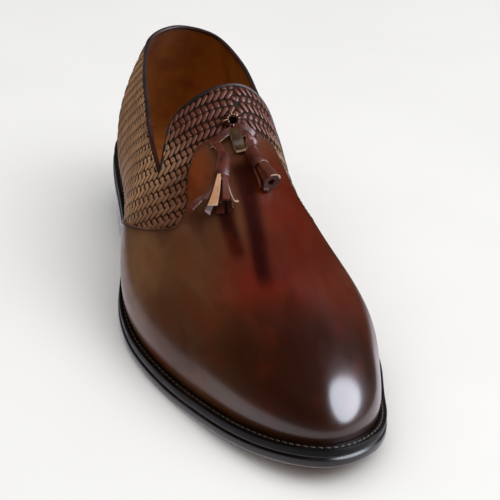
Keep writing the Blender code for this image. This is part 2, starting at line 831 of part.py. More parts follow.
def build_tassel(place, material, shoe, collection, cutters):
    """A tassel: a tapered cap with cut strips fused on below it."""
    top, out_top = on_vamp(place.top, TASSEL_TOP_RADIUS + TASSEL_LIFT)
    end, out_end = on_vamp(place.end, TASSEL_RADIUS)
    matrix = placed(top, end - top, out_top + out_end)
    length = (end - top).length / MM
    cap = length * TASSEL_CAP_SHARE
    core = cone(place.node, TASSEL_TOP_RADIUS, TASSEL_CAP_RADIUS, 0.0, cap, matrix)
    piece = add_object(place.node, core, material, shoe, collection)
    helpers = bpy.data.collections.new(f"{place.node}_strips")
    cutters.children.link(helpers)
    start = cap - STRIP_OVERLAP
    for number in range(TASSEL_STRIPS):
        reach = length - start - STRIP_STAGGER * (number % 3)
        shape = strip(f"{place.node}_strip_{number}", number, start, reach, matrix)
        add_cutter(shape.name, shape, helpers)
    inside = STRIP_THICKNESS / 2.0
    filling_length = (length - start) * FILLING_SHARE
    filling = cone(f"{place.node}_filling", TASSEL_CAP_RADIUS - inside, TASSEL_RADIUS - 2.0 * inside, start,
                   filling_length, matrix)
    add_cutter(filling.name, filling, helpers)
    fuse(piece, helpers)


def ribbon(name, places):
    """A flat thong that follows places on the vamp."""
    bm = bmesh.new()
    spots = [on_vamp(place, THONG_THICKNESS / 2.0 + THONG_LIFT) for place in places]
    loops = []
    for i, (point, out) in enumerate(spots):
        ahead = spots[min(i + 1, len(spots) - 1)][0]
        behind = spots[max(i - 1, 0)][0]
        across = out.cross(ahead - behind).normalized() * THONG_WIDTH * MM / 2.0
        up = out * THONG_THICKNESS * MM / 2.0
        corners = (point + across + up, point - across + up, point - across - up, point + across - up)
        loops.append([bm.verts.new(corner) for corner in corners])
    for lower, upper in zip(loops, loops[1:]):
        for i in range(4):
            j = (i + 1) % 4
            bm.faces.new((lower[i], lower[j], upper[j], upper[i]))
    bm.faces.new(loops[0])
    bm.faces.new(loops[-1])
    bmesh.ops.recalc_face_normals(bm, faces=bm.faces)
    mesh = bpy.data.meshes.new(name)
    bm.to_mesh(mesh)
    bm.free()
    return mesh


def build_tie(material, shoe, collection, cutters):
    """The knot of the tassels' thong, with the thong lying to both sides of it."""
    point, out = on_vamp(VampPlace(-THONG_ANGLE, KNOT_RISE), KNOT_SIZE[2] / 2.0)
    side = Vector((1.0, 0.0, 0.0))
    width, depth, height = (size * MM for size in KNOT_SIZE)
    matrix = placed(point, side, out) @ Matrix.Diagonal((depth, height, width, 1.0))
    bm = bmesh.new()
    bmesh.ops.create_uvsphere(bm, u_segments=16, v_segments=10, radius=0.5, matrix=matrix)
    mesh = bpy.data.meshes.new("tassel_tie")
    bm.to_mesh(mesh)
    bm.free()
    piece = add_object("tassel_tie", mesh, material, shoe, collection)
    helpers = bpy.data.collections.new("tassel_tie_thongs")
    cutters.children.link(helpers)
    lateral = [VampPlace(-THONG_ANGLE, rise) for rise in THONG_LATERAL_RISES]
    medial = [VampPlace(-THONG_ANGLE, rise) for rise in THONG_RIDGE_RISES]
    medial += [VampPlace(THONG_ANGLE, rise) for rise in THONG_MEDIAL_RISES]
    add_cutter("thong_lateral", ribbon("thong_lateral", lateral), helpers)
    add_cutter("thong_medial", ribbon("thong_medial", medial), helpers)
    fuse(piece, helpers)


def main():
    """Builds the shoe."""
    clear_scene()
    collection = bpy.data.collections.new(SHOE_NAME)
    bpy.context.scene.collection.children.link(collection)
    cutters = bpy.data.collections.new(f"{SHOE_NAME}_cutters")
    bpy.context.scene.collection.children.link(cutters)
    shoe = bpy.data.objects.new(SHOE_NAME, None)
    collection.objects.link(shoe)

    dark_edge = finish("burnished_sole_edge", "1C1513", 0.35)
    tan_sole = finish("tan_sole_leather", "B8683A", 0.45)
    heel_leather = finish("stacked_heel_leather", "231A17", 0.45)
    rubber = finish("slate_rubber", "4C5566", 0.7)
    vamp_leather = finish("burnished_brown_leather", "4A2A1C", 0.3)
    lining = finish("tan_lining_leather", "8A4E1C", 0.6)

    add_object("outsole", build_outsole(), tan_sole, shoe, collection)
    add_object("welt", build_welt(), dark_edge, shoe, collection)
    add_object("insole", build_insole(), lining, shoe, collection)
    mesh, thick = build_upper()
    thicken_upper(add_object("upper", mesh, vamp_leather, shoe, collection), thick)

    split = HEEL_TOP_PIECE_SPLIT
    rubber_piece = heel_block("heel_top_rubber", 0.0, TOP_PIECE_THICKNESS, 0.0, split, 0.0)
    add_object("heel_top_rubber", rubber_piece, rubber, shoe, collection)
    leather_piece = heel_block("heel_top_leather", 0.0, TOP_PIECE_THICKNESS, split + CLEARANCE)
    add_object("heel_top_leather", leather_piece, heel_leather, shoe, collection)
    bottom = TOP_PIECE_THICKNESS + CLEARANCE
    for number in (3, 2):
        lift = heel_block(f"heel_lift_{number}", bottom, bottom + LIFT_THICKNESS)
        add_object(f"heel_lift_{number}", lift, heel_leather, shoe, collection)
        bottom += LIFT_THICKNESS + CLEARANCE
    add_object("heel_lift_1", heel_block("heel_lift_1", bottom, None), heel_leather, shoe, collection)

    tassel_leather = finish("tassel_leather", "5A2E1C", 0.4)
    for place in TASSELS:
        build_tassel(place, tassel_leather, shoe, collection, cutters)
    build_tie(tassel_leather, shoe, collection, cutters)


main()
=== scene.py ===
"""Looks of a tassel loafer for the right foot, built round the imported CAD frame.

Sizes are millimetres unless a name says otherwise. A station is the distance from the back of the heel
along the sole, an offset is the distance from the sole's long axis (lateral side negative), and a height is
measured from the floor. A column of the last is named by its angle: 0 at the toe tip, 90 at the side of the
instep, 180 at the heel back, lateral angles negative. A rise runs up a column from 0 at the sole to 1 at the
ridge.
"""
import json
import logging
import math
from dataclasses import dataclass, field
from enum import Enum
from functools import partial
from typing import Any, NamedTuple, Optional, Sequence

import bmesh
import bpy
import numpy as np
from mathutils import Matrix, Vector

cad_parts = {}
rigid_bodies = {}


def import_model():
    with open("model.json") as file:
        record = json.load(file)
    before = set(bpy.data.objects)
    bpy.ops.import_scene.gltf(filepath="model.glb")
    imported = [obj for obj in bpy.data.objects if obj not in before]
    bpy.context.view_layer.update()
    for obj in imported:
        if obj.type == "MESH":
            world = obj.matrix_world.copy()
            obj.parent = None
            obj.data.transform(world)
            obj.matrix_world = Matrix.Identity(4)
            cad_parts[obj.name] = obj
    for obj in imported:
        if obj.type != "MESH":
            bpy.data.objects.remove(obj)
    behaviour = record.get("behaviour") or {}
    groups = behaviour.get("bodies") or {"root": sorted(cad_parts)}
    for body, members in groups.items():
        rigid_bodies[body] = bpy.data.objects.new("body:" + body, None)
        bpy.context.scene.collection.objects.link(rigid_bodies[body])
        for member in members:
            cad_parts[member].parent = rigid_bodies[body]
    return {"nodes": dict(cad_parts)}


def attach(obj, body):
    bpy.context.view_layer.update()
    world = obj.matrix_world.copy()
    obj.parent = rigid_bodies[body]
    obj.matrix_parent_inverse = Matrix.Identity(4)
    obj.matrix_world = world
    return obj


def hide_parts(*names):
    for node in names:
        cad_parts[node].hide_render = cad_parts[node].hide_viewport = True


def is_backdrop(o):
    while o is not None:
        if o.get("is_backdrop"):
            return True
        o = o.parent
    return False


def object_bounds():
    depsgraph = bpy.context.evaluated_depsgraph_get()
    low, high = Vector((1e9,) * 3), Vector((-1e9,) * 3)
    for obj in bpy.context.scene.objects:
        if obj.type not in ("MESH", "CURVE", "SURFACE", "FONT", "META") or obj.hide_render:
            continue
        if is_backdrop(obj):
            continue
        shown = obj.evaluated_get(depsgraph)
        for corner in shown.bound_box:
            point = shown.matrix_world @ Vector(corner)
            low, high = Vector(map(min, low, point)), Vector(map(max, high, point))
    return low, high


LOG = logging.getLogger("loafer")
MM = 0.001
BODY = "root"

LENGTH = 302
OUTSOLE_THICKNESS = 5.5
VAMP_WALL = 2.6
QUARTER_WALL = 1.8
CLEARANCE = 0.3
BREAST_STATION = 80
SEAT_BACK = 25
SEAT_SLOPE = 0.0575
BREAST_HEIGHT = SEAT_BACK - SEAT_SLOPE * BREAST_STATION
INSET_BLEND = 12
HEEL_TURN_ANGLE = 130
TONGUE_ANGLE = 99
TONGUE_CORNER_RISE = 0.62
TONGUE_CORNER_ROUND = 2
CROWN_SPACING = 1.2
# Rows of the CAD mesh above the notch, which the tongue's corner rounding counts in
CAD_CROWN_ROWS = 9
# Distance from the seam that is given to places behind the vamp
OFF_VAMP = -99.0
# Steps that slopes and normals are taken over: along the ridge, in angle and in rise
RIDGE_STEP = 0.5
ANGLE_STEP = 0.5
RISE_STEP = 0.005
# Core line of the last: its ends along Y and its height
CORE_ENDS = (-100, 110)
CORE_HEIGHT = 25
# Share of a strap's thickness that its broken edges take
BROKEN_EDGE = 0.22
MAP_RANGE = "ShaderNodeMapRange"
MATH = "ShaderNodeMath"
VECTOR_MATH = "ShaderNodeVectorMath"
SMOOTH = {"interpolation_type": "SMOOTHSTEP"}

# Edge of the sole from above: station, offset
OUTLINE = (
    (0, 0), (12, -26), (38, -35.5), (75, -39.8), (120, -44.6), (162, -54), (200, -52.5),
    (250, -36.6), (285, -17.8), (302, 6.1), (287, 32), (255, 44.4), (214, 53.5), (170, 40.6),
    (125, 29.5), (75, 30.6), (38, 34), (12, 26.8),
)
# Underside in front of the heel: station, height
TREAD = (
    (BREAST_STATION, BREAST_HEIGHT), (110, 15), (150, 5.5), (180, 0.9),
    (196, 0), (226, 0), (255, 1.8), (280, 4.4), (302, 8.5),
)
# Distance of the last's bottom edge from the edge of the sole: station, lateral, medial
FEATHER_INSETS = (
    (0, 5.2, 5.2), (110, 5.6, 5.3), (160, 6.3, 6), (200, 7.6, 6.8), (250, 8.2, 6.2), (302, 8.2, 8.2),
)
# Top line of the last: station, height, offset
RIDGE = (
    (38, 125.6, 2.7), (90, 121.8, 2.9), (132, 103.5, 2.6), (152, 86, 3.4), (175, 74.3, 3.5),
    (200, 63, 3.8), (225, 55.4, 5.1), (245, 48.6, 6.6), (260, 43.6, 7.4),
)
# Shape of the wall: angle, lean lateral and medial, wall pull, crown pull lateral and medial
WALL = (
    (0, 0.13, 0.13, 0.625, 0.60, 0.60), (40, 0.18, 0.20, 0.615, 0.56, 0.525),
    (75, 0.36, 0.20, 0.49, 0.475, 0.525), (100, 0.38, 0.36, 0.44, 0.545, 0.86),
    (120, 0.30, 0.29, 0.365, 0.44, 0.65), (140, 0.24, 0.18, 0.425, 0.11, 0.32),
    (160, 0.13, 0.15, 0.47, 0.11, 0.25), (180, 0.15, 0.15, 0.485, 0.17, 0.17),
)
# Topline: angle, height
COLLAR = (
    (90, 67.5), (96, 73.5), (102, 77.5), (110, 81), (120, 84.5), (135, 87.5), (150, 89.5),
    (165, 91.2), (180, 92.3),
)
# Vamp seam and notch line: rise, angle of the seam, angle of the line through the notch
PANEL_LINES = (
    (0.00, 103, 112), (0.12, 100, 108), (0.35, 87, 97.5), (0.48, 80, 92.5), (0.57, 77, 90),
    (0.64, 79, 90.8), (0.70, 86, 93.5), (0.76, 89.5, 94.5), (1.00, 90, 95),
)

Array = np.ndarray
Piece = bpy.types.Object
Material = bpy.types.Material
Socket = bpy.types.NodeSocket
Pair = tuple[float, float]
Triple = tuple[float, float, float]
Faces = list[tuple[int, ...]]
Shape = tuple[Array, Faces]


class Side(Enum):
    """Side of the shoe, by the sign of its column angles."""

    LATERAL = -1
    MEDIAL = 1


class Beam(Enum):
    """What a studio light does: light up surfaces, or stand as a card that only glossy surfaces mirror."""

    SOFT = "lights surfaces"
    CARD = "seen in gloss"


class Caps(Enum):
    """How the ends of a loft are closed."""

    LOOP = "last ring joined to the first"
    ROWS = "strips across the shoe"
    FLAT = "one face"


def table(rows: Sequence[Sequence[float]]) -> Array:
    """Returns the columns of a table of rows."""
    return np.array(rows, dtype=float).T


def hermite(stations: Array, values: Array, tangent: Array, at: Any) -> Array:
    """Cubic through values with given slopes, held level past both ends.

    Args:
        stations: Places of the values, rising.
        values: Values at the places.
        tangent: Slope at each place.
        at: Places to read.

    Returns:
        The cubic at the places read.
    """
    step = np.diff(stations)
    at = np.clip(np.asarray(at, dtype=float), stations[0], stations[-1])
    k = np.clip(np.searchsorted(stations, at) - 1, 0, len(step) - 1)
    u = (at - stations[k]) / step[k]
    start = (1 + 2 * u) * (1 - u) ** 2 * values[k] + u * (1 - u) ** 2 * step[k] * tangent[k]
    return start + u * u * (3 - 2 * u) * values[k + 1] + u * u * (u - 1) * step[k] * tangent[k + 1]


def steady(stations: Array, values: Array, at: Any) -> Array:
    """Cubic through values that never overshoots them.

    Args:
        stations: Places of the values, rising.
        values: Values at the places.
        at: Places to read.

    Returns:
        The cubic at the places read.
    """
    step = np.diff(stations)
    slope = np.diff(values) / step
    tangent = np.zeros(len(values))
    for i in range(1, len(values) - 1):
        if slope[i - 1] * slope[i] > 0:
            before, after = 2 * step[i] + step[i - 1], step[i] + 2 * step[i - 1]
            tangent[i] = (before + after) / (before / slope[i - 1] + after / slope[i])
    tangent[0], tangent[-1] = slope[0], slope[-1]
    return hermite(stations, values, tangent, at)


def flowing(stations: Array, values: Array, at: Any) -> Array:
    """Cubic through values with slopes taken from their neighbours."""
    return hermite(stations, values, np.gradient(values, stations), at)


def smooth_step(low: float, high: float, at: Array) -> Array:
    """Returns 0 below low, 1 above high and an S curve between."""
    share = np.clip((at - low) / (high - low), 0, 1)
    return share * share * (3 - 2 * share)


def unit(vectors: Array) -> Array:
    """Returns vectors scaled to length one."""
    return vectors / np.maximum(np.linalg.norm(vectors, axis=-1, keepdims=True), 1e-12)


def along_path(path: Array) -> Array:
    """Returns the distance along a path at each of its points."""
    return np.concatenate([[0], np.cumsum(np.linalg.norm(np.diff(path, axis=0), axis=1))])


def carried(path: Array, values: Array, at: Array) -> Array:
    """Returns values at the points of a path, read at distances along it."""
    travel = along_path(path)
    return np.stack([np.interp(at, travel, values[:, k]) for k in range(3)], axis=-1)


def closed_curve(points: Array, per_span: int = 60) -> Array:
    """Periodic cubic spline through points in the plane.

    Args:
        points: Points that the curve passes through.
        per_span: Points to make on each span.

    Returns:
        Points along the whole curve.
    """
    count = len(points)
    chord = np.linalg.norm(np.roll(points, -1, 0) - points, axis=1)
    matrix = np.zeros((count, count))
    bend = np.zeros((count, 2))
    for i in range(count):
        after = (i + 1) % count
        matrix[i, i - 1] += chord[i - 1]
        matrix[i, i] += 2 * (chord[i - 1] + chord[i])
        matrix[i, after] += chord[i]
        bend[i] = 6 * ((points[after] - points[i]) / chord[i] - (points[i] - points[i - 1]) / chord[i - 1])
    curvature = np.linalg.solve(matrix, bend)
    spans = []
    for i in range(count):
        after = (i + 1) % count
        along = np.arange(per_span)[:, None] / per_span * chord[i]
        rest = chord[i] - along
        cubic = (curvature[i] * rest ** 3 + curvature[after] * along ** 3) / (6 * chord[i])
        start = (points[i] / chord[i] - curvature[i] * chord[i] / 6) * rest
        end = (points[after] / chord[i] - curvature[after] * chord[i] / 6) * along
        spans.append(cubic + start + end)
    return np.concatenate(spans)


def tread_height(station: Array) -> Array:
    """Returns the height of the outsole's underside."""
    seat = SEAT_BACK - SEAT_SLOPE * np.asarray(station, dtype=float)
    return np.where(station < BREAST_STATION, seat, steady(*table(TREAD), station))


class Ring:
    """One closed edge of the shoe, read by column angle."""

    def __init__(self, lateral: Array, medial: Array) -> None:
        """Keeps both halves of the edge.

        Args:
            lateral: Its lateral half, from the heel back to the toe tip.
            medial: Its medial half, the same way.
        """
        self.lateral = lateral
        self.medial = medial
        self.middle = (lateral[-1, 0] + lateral[0, 0]) / 2
        self.half = (lateral[-1, 0] - lateral[0, 0]) / 2

    def at(self, angle: Any) -> tuple[Array, Array]:
        """Reads the edge.

        Args:
            angle: Column angles.

        Returns:
            Stations and offsets.
        """
        angle = (np.asarray(angle, dtype=float) + 180) % 360 - 180
        station = self.middle + self.half * np.cos(np.radians(angle))
        lateral = np.interp(station, self.lateral[:, 0], self.lateral[:, 1])
        medial = np.interp(station, self.medial[:, 0], self.medial[:, 1])
        return station, np.where(angle < 0, lateral, medial)


class Plan:
    """The edge of the sole seen from above, and edges drawn inside it."""

    def __init__(self) -> None:
        """Draws the edge and the direction out of it."""
        self.edge = closed_curve(table(OUTLINE).T)
        travel = unit(np.roll(self.edge, -1, 0) - np.roll(self.edge, 1, 0))
        self.outward = np.stack([-travel[:, 1], travel[:, 0]], axis=1)
        if np.sum((self.edge - self.edge.mean(0)) * self.outward) < 0:
            self.outward = -self.outward
        self.width_centre = (self.edge[:, 1].min() + self.edge[:, 1].max()) / 2

    def sides(self, inset: Any) -> tuple[Array, Array]:
        """Splits the edge in two.

        Args:
            inset: How far it moves in, one or one a point.

        Returns:
            The lateral and the medial edge, heel back to toe tip.
        """
        edge = self.edge - self.outward * np.broadcast_to(inset, len(self.edge))[:, None]
        edge = np.roll(edge, -int(np.argmin(edge[:, 0])), 0)
        toe = int(np.argmax(edge[:, 0]))
        return edge[:toe + 1], np.concatenate([edge[toe:], edge[:1]])[::-1]

    def feather_inset(self) -> Array:
        """Works out how far the last stands in from the edge.

        Returns:
            The inset at each point of the edge.
        """
        station, lateral, medial = table(FEATHER_INSETS)
        share = smooth_step(-INSET_BLEND, INSET_BLEND, self.edge[:, 1])
        on_lateral = steady(station, lateral, self.edge[:, 0])
        return on_lateral + (steady(station, medial, self.edge[:, 0]) - on_lateral) * share

    def place(self, offset: Array, station: Array, height: Array) -> Array:
        """Returns points in the row frame, in millimetres, with the toe towards -Y."""
        x = np.asarray(offset, dtype=float) - self.width_centre
        return np.stack(np.broadcast_arrays(x, LENGTH / 2 - station, height), axis=-1).astype(float)


def wall_shape(angle: Array) -> tuple[Array, Array, Array]:
    """Reads the shape of the wall.

    Args:
        angle: Column angles.

    Returns:
        Lean, wall pull and crown pull.
    """
    angles, lean_lateral, lean_medial, wall_pull, crown_lateral, crown_medial = table(WALL)
    size = np.abs(angle)
    lean = np.where(angle < 0, flowing(angles, lean_lateral, size), flowing(angles, lean_medial, size))
    crown = np.where(angle < 0, flowing(angles, crown_lateral, size), flowing(angles, crown_medial, size))
    return lean, flowing(angles, wall_pull, size), crown


class Last:
    """The form that the upper is pulled over, the same as in the CAD source."""

    def __init__(self, plan: Plan) -> None:
        """Keeps the bottom edge and the ridge.

        Args:
            plan: The edge of the sole.
        """
        self.plan = plan
        self.feather = Ring(*plan.sides(plan.feather_inset()))
        self.ridge = table(RIDGE)

    def columns(self, angle: Array) -> tuple[Array, ...]:
        """Works out the cubic column at each angle.

        Args:
            angle: Column angles.

        Returns:
            Its four control points, each as offset, station and height.
        """
        size, side = np.abs(angle), np.where(angle < 0, -1, 1)
        station, offset = self.feather.at(angle)
        lean, wall_pull, crown_pull = wall_shape(angle)
        along = np.stack(self.feather.at(angle + 1), axis=-1) - np.stack(self.feather.at(angle - 1), axis=-1)
        normal = unit(np.stack([along[..., 0], -along[..., 1]], axis=-1))
        inward = np.sum(normal * np.stack([offset, station - self.feather.middle], axis=-1), axis=-1) < 0
        normal = np.where(inward[..., None], -normal, normal)
        ground = np.maximum(tread_height(station), tread_height(station + normal[..., 1] * VAMP_WALL))
        foot = np.stack([offset, station, ground + OUTSOLE_THICKNESS + CLEARANCE + lean * VAMP_WALL], axis=-1)

        stations, heights, offsets = self.ridge
        half = (stations[-1] - stations[0]) / 2
        at = stations[0] + half + half * np.cos(np.radians(angle))
        ahead, behind = np.minimum(at + RIDGE_STEP, stations[-1]), np.maximum(at - RIDGE_STEP, stations[0])
        slope = (flowing(stations, heights, ahead) - flowing(stations, heights, behind)) / (ahead - behind)
        top = np.stack([flowing(stations, offsets, at), at, flowing(stations, heights, at)], axis=-1)

        height = (top - foot)[..., 2]
        width = np.linalg.norm((top - foot)[..., :2], axis=-1)
        rise = np.concatenate([lean[..., None] * normal, np.ones(lean.shape)[..., None]], axis=-1)
        shoulder = foot + rise * (wall_pull * height)[..., None]
        facing = np.minimum(size, 90) + np.maximum(size - HEEL_TURN_ANGLE, 0) * 90 / (180 - HEEL_TURN_ANGLE)
        facing = np.radians(facing)
        level = np.stack([side * np.sin(facing), np.cos(facing), np.cos(facing) * slope], axis=-1)
        return foot, shoulder, top + level * (crown_pull * width)[..., None], top

    def point(self, angle: Any, rise: Any) -> Array:
        """Reads the surface.

        Args:
            angle: Column angles.
            rise: Rises up the columns.

        Returns:
            Points in the row frame, in millimetres.
        """
        angle, rise = np.broadcast_arrays(np.asarray(angle, dtype=float), np.asarray(rise, dtype=float))
        foot, shoulder, crown, top = self.columns(angle)
        u = rise[..., None]
        point = (1 - u) ** 3 * foot + 3 * u * (1 - u) ** 2 * shoulder
        point = point + 3 * u * u * (1 - u) * crown + u ** 3 * top
        return self.plan.place(point[..., 0], point[..., 1], point[..., 2])

    def outward(self, angle: Any, rise: Any) -> Array:
        """Reads the directions out of the last, away from its poles.

        Args:
            angle: Column angles.
            rise: Rises up the columns.

        Returns:
            Unit normals.
        """
        rise = np.asarray(rise, dtype=float)
        angle = np.asarray(angle, dtype=float)
        high, low = np.minimum(rise + RISE_STEP, 1), rise - RISE_STEP
        along = self.point(angle + ANGLE_STEP, rise) - self.point(angle - ANGLE_STEP, rise)
        normal = unit(np.cross(along, self.point(angle, high) - self.point(angle, low)))
        inward = np.sum(normal * self.outer_hint(angle, rise), axis=-1) < 0
        return np.where(inward[..., None], -normal, normal)

    def outer_hint(self, angle: Any, rise: Any) -> Array:
        """Finds rough directions out of the last.

        Args:
            angle: Column angles.
            rise: Rises up the columns.

        Returns:
            Directions from the last's core line.
        """
        point = self.point(angle, rise)
        core = point * np.array([0, 1, 0])
        core[..., 1] = np.clip(core[..., 1], *CORE_ENDS)
        core[..., 2] = CORE_HEIGHT
        return point - core

    def rise_at_height(self, angle: float, height: float) -> float:
        """Returns the rise at which a column reaches a height."""
        rises = np.linspace(0, 1, 200)
        return float(np.interp(height, self.point(np.full(rises.shape, angle), rises)[:, 2], rises))


def panel_angle(column: Array, rise: Array) -> Array:
    """Returns the size of the column angle of a mesh column, bent so that seam and notch lie on columns.

    Args:
        column: 0 to 1 over the vamp, 1 to 2 over the band behind its seam, 2 to 3 from the notch to the heel.
        rise: Rise up the wall.

    Returns:
        Angles in degrees.
    """
    rises, seam, notch = table(PANEL_LINES)
    at_seam, at_notch = steady(rises, seam, rise), steady(rises, notch, rise)
    vamp = np.clip(column, 0, 1) * at_seam
    band = np.clip(column - 1, 0, 1) * (at_notch - at_seam)
    return vamp + band + np.clip(column - 2, 0, 1) * (180 - at_notch)


def collar_rise(last: Last, column: float) -> float:
    """Finds the topline on a mesh column.

    Args:
        last: The form.
        column: Mesh column, at the notch or behind it.

    Returns:
        The rise there.
    """
    rise = 0.5
    for _ in range(6):
        angle = float(panel_angle(np.array(column), np.array(rise)))
        height = float(steady(*table(COLLAR), angle))
        rise = (last.rise_at_height(-angle, height) + last.rise_at_height(angle, height)) / 2
    return rise


@dataclass
class MeshData:
    """Points in millimetres, faces and each face's material slot, gathered before they become a piece."""

    points: list[Array] = field(default_factory=list)
    faces: Faces = field(default_factory=list)
    slots: list[int] = field(default_factory=list)
    count: int = 0

    def add(self, points: Array, faces: Sequence[Sequence[int]], slot: Any = 0) -> "MeshData":
        """Adds a closed shape.

        Args:
            points: Its points.
            faces: Its faces, as indices into its own points.
            slot: One material slot for all faces, or one a face.

        Returns:
            This gathering, for the next call.
        """
        self.faces += [tuple(int(i) + self.count for i in face) for face in faces]
        self.slots += [slot] * len(faces) if isinstance(slot, int) else list(slot)
        self.points.append(np.asarray(points, dtype=float).reshape(-1, 3))
        self.count += len(self.points[-1])
        return self

    def make(self, name: str, materials: Sequence[Material], sharp: float = 40,
             recalculate: bool = True) -> Piece:
        """Turns the gathering into a piece in the scene.

        Args:
            name: Name of the piece.
            materials: Materials of its slots.
            sharp: Angle in degrees above which an edge stays sharp.
            recalculate: Whether to turn all faces outwards.

        Returns:
            The new object.
        """
        mesh = bpy.data.meshes.new(name)
        mesh.from_pydata((np.concatenate(self.points) * MM).tolist(), [], self.faces)
        mesh.polygons.foreach_set("material_index", self.slots)
        if recalculate:
            bm = bmesh.new()
            bm.from_mesh(mesh)
            bmesh.ops.recalc_face_normals(bm, faces=bm.faces)
            bm.to_mesh(mesh)
            bm.free()
        for material in materials:
            mesh.materials.append(material)
        mesh.shade_smooth()
        mesh.set_sharp_from_angle(angle=math.radians(sharp))
        return show(bpy.data.objects.new(name, mesh))


def show(piece: Piece) -> Piece:
    """Links an object to the scene."""
    bpy.context.scene.collection.objects.link(piece)
    return piece


def solid(name: str, shape: Sequence[Any], materials: Sequence[Material], sharp: float = 40,
          turn: bool = True) -> Piece:
    """Makes a piece of one closed shape: points, faces and, where it has more than one material, slots."""
    return MeshData().add(*shape).make(name, materials, sharp, turn)


def sheet(columns: int, rows: int, start: int = 0) -> Array:
    """Returns the quads of a grid of points, stored column by column and numbered from start."""
    index = start + np.arange(columns * rows).reshape(columns, rows)
    return np.stack([index[:-1, :-1], index[1:, :-1], index[1:, 1:], index[:-1, 1:]], axis=-1).reshape(-1, 4)


def bands(rings: int, count: int) -> Faces:
    """Returns the faces between closed rings of equal count, stored ring by ring."""
    steps = [(i, j, (j + 1) % count) for i in range(0, (rings - 1) * count, count) for j in range(count)]
    return [(i + j, i + count + j, i + count + k, i + k) for i, j, k in steps]


def ends(rings: int, count: int) -> Faces:
    """Returns one face over the first ring and one over the last."""
    return [tuple(range(count)), tuple(range((rings - 1) * count, rings * count))]


def loft(rings: Sequence[Array], caps: Caps) -> Shape:
    """Joins closed rings of equal count, in order, by faces.

    Args:
        rings: Rings of points.
        caps: How the ends are closed.

    Returns:
        Points and faces.
    """
    count = len(rings[0])
    faces = bands(len(rings), count)
    last = (len(rings) - 1) * count
    if caps is Caps.LOOP:
        faces += [(last + i, i, (i + 1) % count, last + (i + 1) % count) for i in range(count)]
    elif caps is Caps.FLAT:
        faces += ends(len(rings), count)
    else:
        for start in (0, last):
            for i in range(count // 2):
                corners = (i, i + 1, count - i - 1, -i % count)
                faces.append(tuple(dict.fromkeys(start + corner for corner in corners)))
    return np.concatenate(rings), faces


def directions(path: Array, out: Array) -> tuple[Array, Array]:
    """Turns rough outward directions square to a path.

    Args:
        path: Points of the path.
        out: Rough direction out of the shoe at each point.

    Returns:
        Unit directions across the path and out of the shoe.
    """
    tangent = unit(np.gradient(path, axis=0))
    across = unit(np.cross(tangent, out))
    return across, np.cross(across, tangent)


def tube(path: Array, out: Array, radius_out: Any, radius_across: Any, sides: int = 12) -> Shape:
    """A bead along a path.

    Args:
        path: Points of its centre line.
        out: Direction out of the shoe at each point.
        radius_out: Radius in that direction.
        radius_across: Radius across it.
        sides: Points of its section.

    Returns:
        Points and faces.
    """
    across, out = directions(path, out)
    turn = np.linspace(0, 2 * math.pi, sides, endpoint=False)[None, :, None]
    rings = (path[:, None] + np.cos(turn) * (across * np.reshape(radius_across, (-1, 1)))[:, None]
             + np.sin(turn) * (out * np.reshape(radius_out, (-1, 1)))[:, None])
    return rings.reshape(-1, 3), bands(len(path), sides) + ends(len(path), sides)


def ribbon(path: Array, out: Array, width: Any, thickness: float) -> tuple[Array, Faces, list[int]]:
    """A flat strap along a path, cut square, with its edges broken.

    Args:
        path: Points of its centre line.
        out: Direction of its grain side at each point.
        width: Width, or one a point.
        thickness: Thickness.

    Returns:
        Points, faces and slots: 0 on the faces, 1 on the cut edges and ends.
    """
    across, out = directions(path, out)
    half = np.broadcast_to(np.asarray(width, dtype=float) / 2, len(path))
    t, b = thickness / 2, thickness * BROKEN_EDGE
    section = ((-1, -b, t), (1, b, t), (1, 0, t - b), (1, 0, b - t), (1, b, -t), (-1, -b, -t), (-1, 0, b - t),
               (-1, 0, t - b))
    rings = [path + across * (sign * half - shift)[:, None] + out * lift for sign, shift, lift in section]
    count = len(section)
    faces = bands(len(path), count)
    slots = [1 if k % count in (2, 6) else 0 for k in range(len(faces))]
    return np.stack(rings, axis=1).reshape(-1, 3), faces + ends(len(path), count), slots + [1, 1]


def shell(outer: Array, inner: Array, faces: Array) -> Shape:
    """Closes a sheet of some thickness round its border.

    Args:
        outer: Points of the outer face.
        inner: Points of the inner face, in the same order.
        faces: Quads of the sheet, facing outwards; a repeated index marks a triangle.

    Returns:
        The points in use and all faces.
    """
    outer, inner = outer.reshape(-1, 3), inner.reshape(-1, 3)
    used, local = np.unique(faces, return_inverse=True)
    count = len(used)
    skin = [tuple(dict.fromkeys(face)) for face in local.reshape(faces.shape).tolist()]
    skin = [face for face in skin if len(face) > 2]
    border: dict[tuple[int, int], None] = {}
    for face in skin:
        for a, b in zip(face, face[1:] + face[:1]):
            if (b, a) in border:
                del border[b, a]
            else:
                border[a, b] = None
    closed = skin + [tuple(i + count for i in face[::-1]) for face in skin]
    closed += [(b, a, a + count, b + count) for a, b in border]
    return np.concatenate([outer[used], inner[used]]), closed


def linear(hex_colour: str) -> tuple[float, float, float, float]:
    """Turns an sRGB colour such as 4A2A1C into linear red, green, blue and alpha."""
    channels = [int(hex_colour[i:i + 2], 16) / 255 for i in (0, 2, 4)]
    return *(c / 12.92 if c <= 0.04045 else ((c + 0.055) / 1.055) ** 2.4 for c in channels), 1.0


